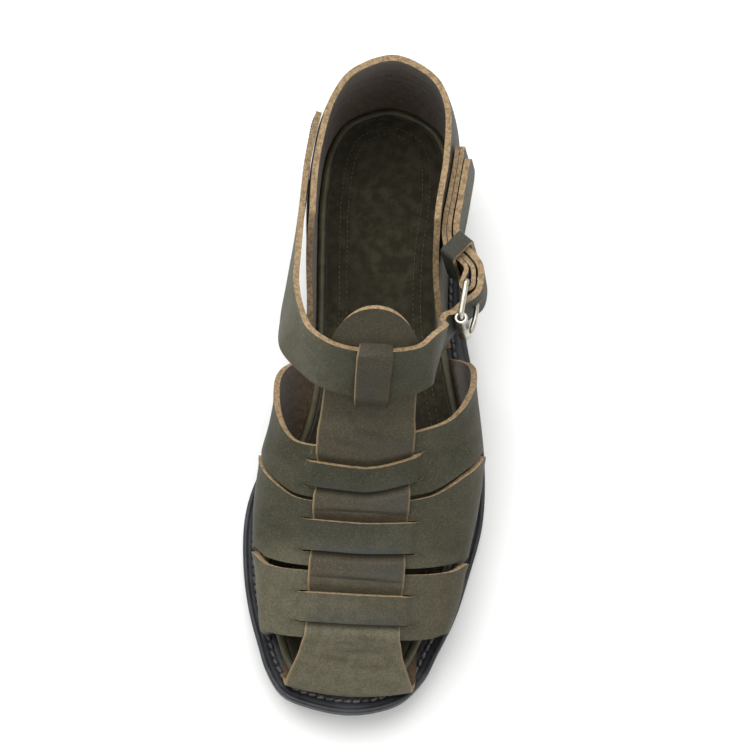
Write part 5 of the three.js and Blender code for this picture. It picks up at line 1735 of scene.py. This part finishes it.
def make_chape():
    """Short strap folded round the buckle's bar, slotted for the prong."""
    half = 0.42 * ANKLE_STRAP
    shares = np.linspace(1, -1, 13)
    ways = [0.995, 0.9, 0.75, 0.6, 0.5, 0.42, 0.34, 0.26, 0.18, 0.09]
    rows = [(*beside_chape(t, -layer_gap(t))[:2], half) for t in ways]
    for angle in np.radians(np.linspace(-90, 90, 9)):
        rows.append((in_buckle(BUCKLE_DEPTH - CHAPE_TURN * math.cos(angle), 0,
                               CHAPE_TURN * math.sin(angle)), BUCKLE_UP, half))
    rows += [(*beside_chape(t, layer_gap(t))[:2], half) for t in reversed(ways)]
    points, normals = strip_points(rows, shares)
    points = smooth_rows(points + normals * CHAPE / 2, 3)
    slot_cutter = round_cutter(in_buckle(BUCKLE_DEPTH - 2.5, 0, 0), BUCKLE_OUT, 1.75, 12.0)
    masks = {"rub": np.full(points.shape[:2], 0.2)}
    hide_sheet("buckle_short_strap", "buckle_chape", points, masks, thickness=CHAPE,
               rounding=0.3, cutters=[slot_cutter])


def make_keeper():
    """Loop of leather round the strap's tail and the short strap."""
    t = 0.33
    stack = layer_gap(t) + CHAPE / 2 + (LEATHER + CLEAR) / 2 + 4 * CLEAR + KEEPER
    middle, across, out = beside_chape(t, (LEATHER + CLEAR) / 2 + 1.6 * CLEAR)
    back = np.cross(across, out)
    half = ANKLE_STRAP / 2 + CLEAR + KEEPER
    corner = 1.9
    loop = []
    for cx, cy, start in ((1, 1, 0), (-1, 1, 90), (-1, -1, 180), (1, -1, 270)):
        for angle in np.radians(start + np.linspace(0, 90, 7)):
            loop.append((cx * (half - corner) + corner * math.cos(angle),
                         cy * (stack - corner) + corner * math.sin(angle)))
    loop.append(loop[0])
    width = np.linspace(0.5, -0.5, 7) * KEEPER_WIDTH
    points = np.array([middle + across * u + out * v + back * width[:, None] for u, v in loop])
    points = np.concatenate([even(points[:, k], 120)[:, None] for k in range(7)], axis=1)
    points[-1] = points[0]
    masks = {"rub": np.full(points.shape[:2], 0.3)}
    hide_sheet("strap_loop", "strap_keeper", points, masks, thickness=KEEPER, rounding=0.35)


def make_frame_wire():
    """The buckle's frame: a closed wire with round corners."""
    corner = 0.7 * WIRE
    half_up = ROLLER_LENGTH / 2 + 2 * CLEAR + corner
    corners = ((0, -1, 180), (BUCKLE_DEPTH, -1, 270), (BUCKLE_DEPTH, 1, 0), (0, 1, 90))
    path = []
    for back, up, start in corners:
        cx = corner if back == 0 else back - corner
        cy = up * (half_up - corner)
        for angle in np.radians(start + np.linspace(0, 90, 8)):
            path.append(in_buckle(cx + corner * math.cos(angle), cy + corner * math.sin(angle), 0))
    sides = 20
    points = tube_points(path, WIRE / 2, sides, BUCKLE_OUT, closed=True)
    closed_body("buckle_wire", points, tube_faces(len(path), sides, True), METAL,
                "buckle_metal", "buckle_frame")


def make_roller():
    """Roller with rounded rims and a shallow groove near each of them."""
    bore, rim, half = WIRE / 2 + 0.25, ROLLER / 2, ROLLER_LENGTH / 2
    profile = [(bore, -half + 0.3), (bore + 0.25, -half), (rim - 0.5, -half),
               (rim - 0.15, -half + 0.15), (rim, -half + 0.5), (rim, -half + 1.6),
               (rim - 0.12, -half + 1.9)]
    profile += [(r, -u) for r, u in reversed(profile)]
    sides = 48
    angle = np.linspace(0, 2 * math.pi, sides, endpoint=False)
    points = np.array([in_buckle(np.cos(angle) * r, np.full_like(angle, u), np.sin(angle) * r)
                       for r, u in profile + profile[:1]])
    faces = grid_faces(len(profile) + 1, sides, close=True)
    closed_body("buckle_tube", points, faces, METAL, "buckle_metal", "buckle_roller", sharp=50)


def make_prong():
    """Prong from its hook round the bar to its worn point on the roller."""
    r = PRONG / 2
    hook = WIRE / 2 + CLEAR + r
    over = ROLLER / 2 + 0.1 + r
    path = [in_buckle(BUCKLE_DEPTH + hook * math.cos(a), 0, hook * math.sin(a))
            for a in np.radians(np.linspace(-150, 105, 12))]
    for back, out in ((0.62, 1.05), (0.3, 1.12), (0, 1), (-0.16, 0.9)):
        path.append(in_buckle(back * BUCKLE_DEPTH, 0, out * over))
    rings = 70
    path = centripetal(path, np.linspace(0, 1, rings))
    size = np.full(rings, r)
    size[:3] = r * np.array([0.35, 0.75, 0.95])
    size[-5:] = r * np.array([0.98, 0.93, 0.85, 0.7, 0.4])
    sides = 16
    closed_body("buckle_pin", tube_points(path, size, sides, BUCKLE_UP), tube_faces(rings, sides),
                METAL, "buckle_metal", "buckle_prong")


def make_seam():
    """Seam that holds the ankle strap's end to the inner side of the heel cup."""
    half = ANKLE_STRAP / 2
    inset = 2.6
    tall_unit = COUNTER * 0.9
    way_unit = 250.0
    way_step = inset / way_unit
    lift = LEATHER + CLEAR + LEATHER + 0.02
    high = SEWN_TALL + (half - inset) / tall_unit
    low = SEWN_TALL - (half - inset) / tall_unit
    first, last = INNER_END + way_step, INNER_SEWN - 0.01
    corners = [(last, high), (first, high), (first, low), (last, low)]
    line = []
    for (w0, t0), (w1, t1) in zip(corners[:-1], corners[1:]):
        for s in np.linspace(0, 1, 14)[:-1]:
            line.append((w0 + (w1 - w0) * s, t0 + (t1 - t0) * s))
    line.append(corners[-1])
    ways, talls = np.array(line).T
    path = off_counter(ways, talls, lift)
    up = unit(off_counter(ways, talls, lift + 1) - path)
    stitches("strap_seam", [(path, up)], SEAM_THREAD, "upper_leather", pitch=2.9, length=2.1,
             radius=0.33, sides=6, sink=-0.1)


make_ankle_strap()
make_chape()
make_keeper()
make_frame_wire()
make_roller()
make_prong()
make_seam()

# ---------------------------------------------------------------- floor and light


def make_floor():
    """Pale studio floor that sweeps up far behind the light, without a corner."""
    sides = 96
    profile = [(0.05, 0.0), (1.6, 0.0), (2.2, 0.02), (2.7, 0.12), (3.1, 0.34), (3.4, 0.7),
               (3.55, 1.2), (3.6, 2.0)]
    angles = np.linspace(0, 2 * math.pi, sides, endpoint=False)
    points = [(r * math.cos(a), r * math.sin(a), z) for r, z in profile for a in angles]
    faces = [tuple(reversed(range(sides)))] + grid_faces(len(profile), sides, close=True)
    mesh = bpy.data.meshes.new("floor")
    mesh.from_pydata(points, [], faces)
    mesh.polygons.foreach_set("use_smooth", [True] * len(mesh.polygons))
    floor = bpy.data.objects.new("floor", mesh)
    scene.collection.objects.link(floor)
    material, _, shader = finish_of("pale_floor")
    shader.inputs["Base Color"].default_value = tone("f6f6f5")
    shader.inputs["Roughness"].default_value = 0.9
    shader.inputs["Specular IOR Level"].default_value = 0.1
    mesh.materials.append(material)


def make_softbox(name, location, width, power):
    """Square light that faces the middle of the shoe."""
    data = bpy.data.lights.new(name, "AREA")
    data.shape = "RECTANGLE"
    data.size = data.size_y = width
    data.energy = power
    light = bpy.data.objects.new(name, data)
    scene.collection.objects.link(light)
    light.location = location
    way = Vector((0, 0, 0.03)) - Vector(location)
    light.rotation_mode = "QUATERNION"
    light.rotation_quaternion = way.to_track_quat("-Z", "Y")


def make_world():
    """Even white light from all sides, and colours shown as they are."""
    world = bpy.data.worlds.new("studio")
    world.use_nodes = True
    background = world.node_tree.nodes["Background"]
    background.inputs["Color"].default_value = (1.0, 1.0, 1.0, 1.0)
    background.inputs["Strength"].default_value = 0.72
    scene.world = world
    scene.view_settings.view_transform = "Standard"
    scene.view_settings.look = "None"


make_floor()
make_softbox("key_softbox", (-0.42, 0.75, 1.6), width=2.0, power=37)
make_softbox("fill_softbox", (1.2, -0.7, 1.3), width=1.4, power=5)
make_world()
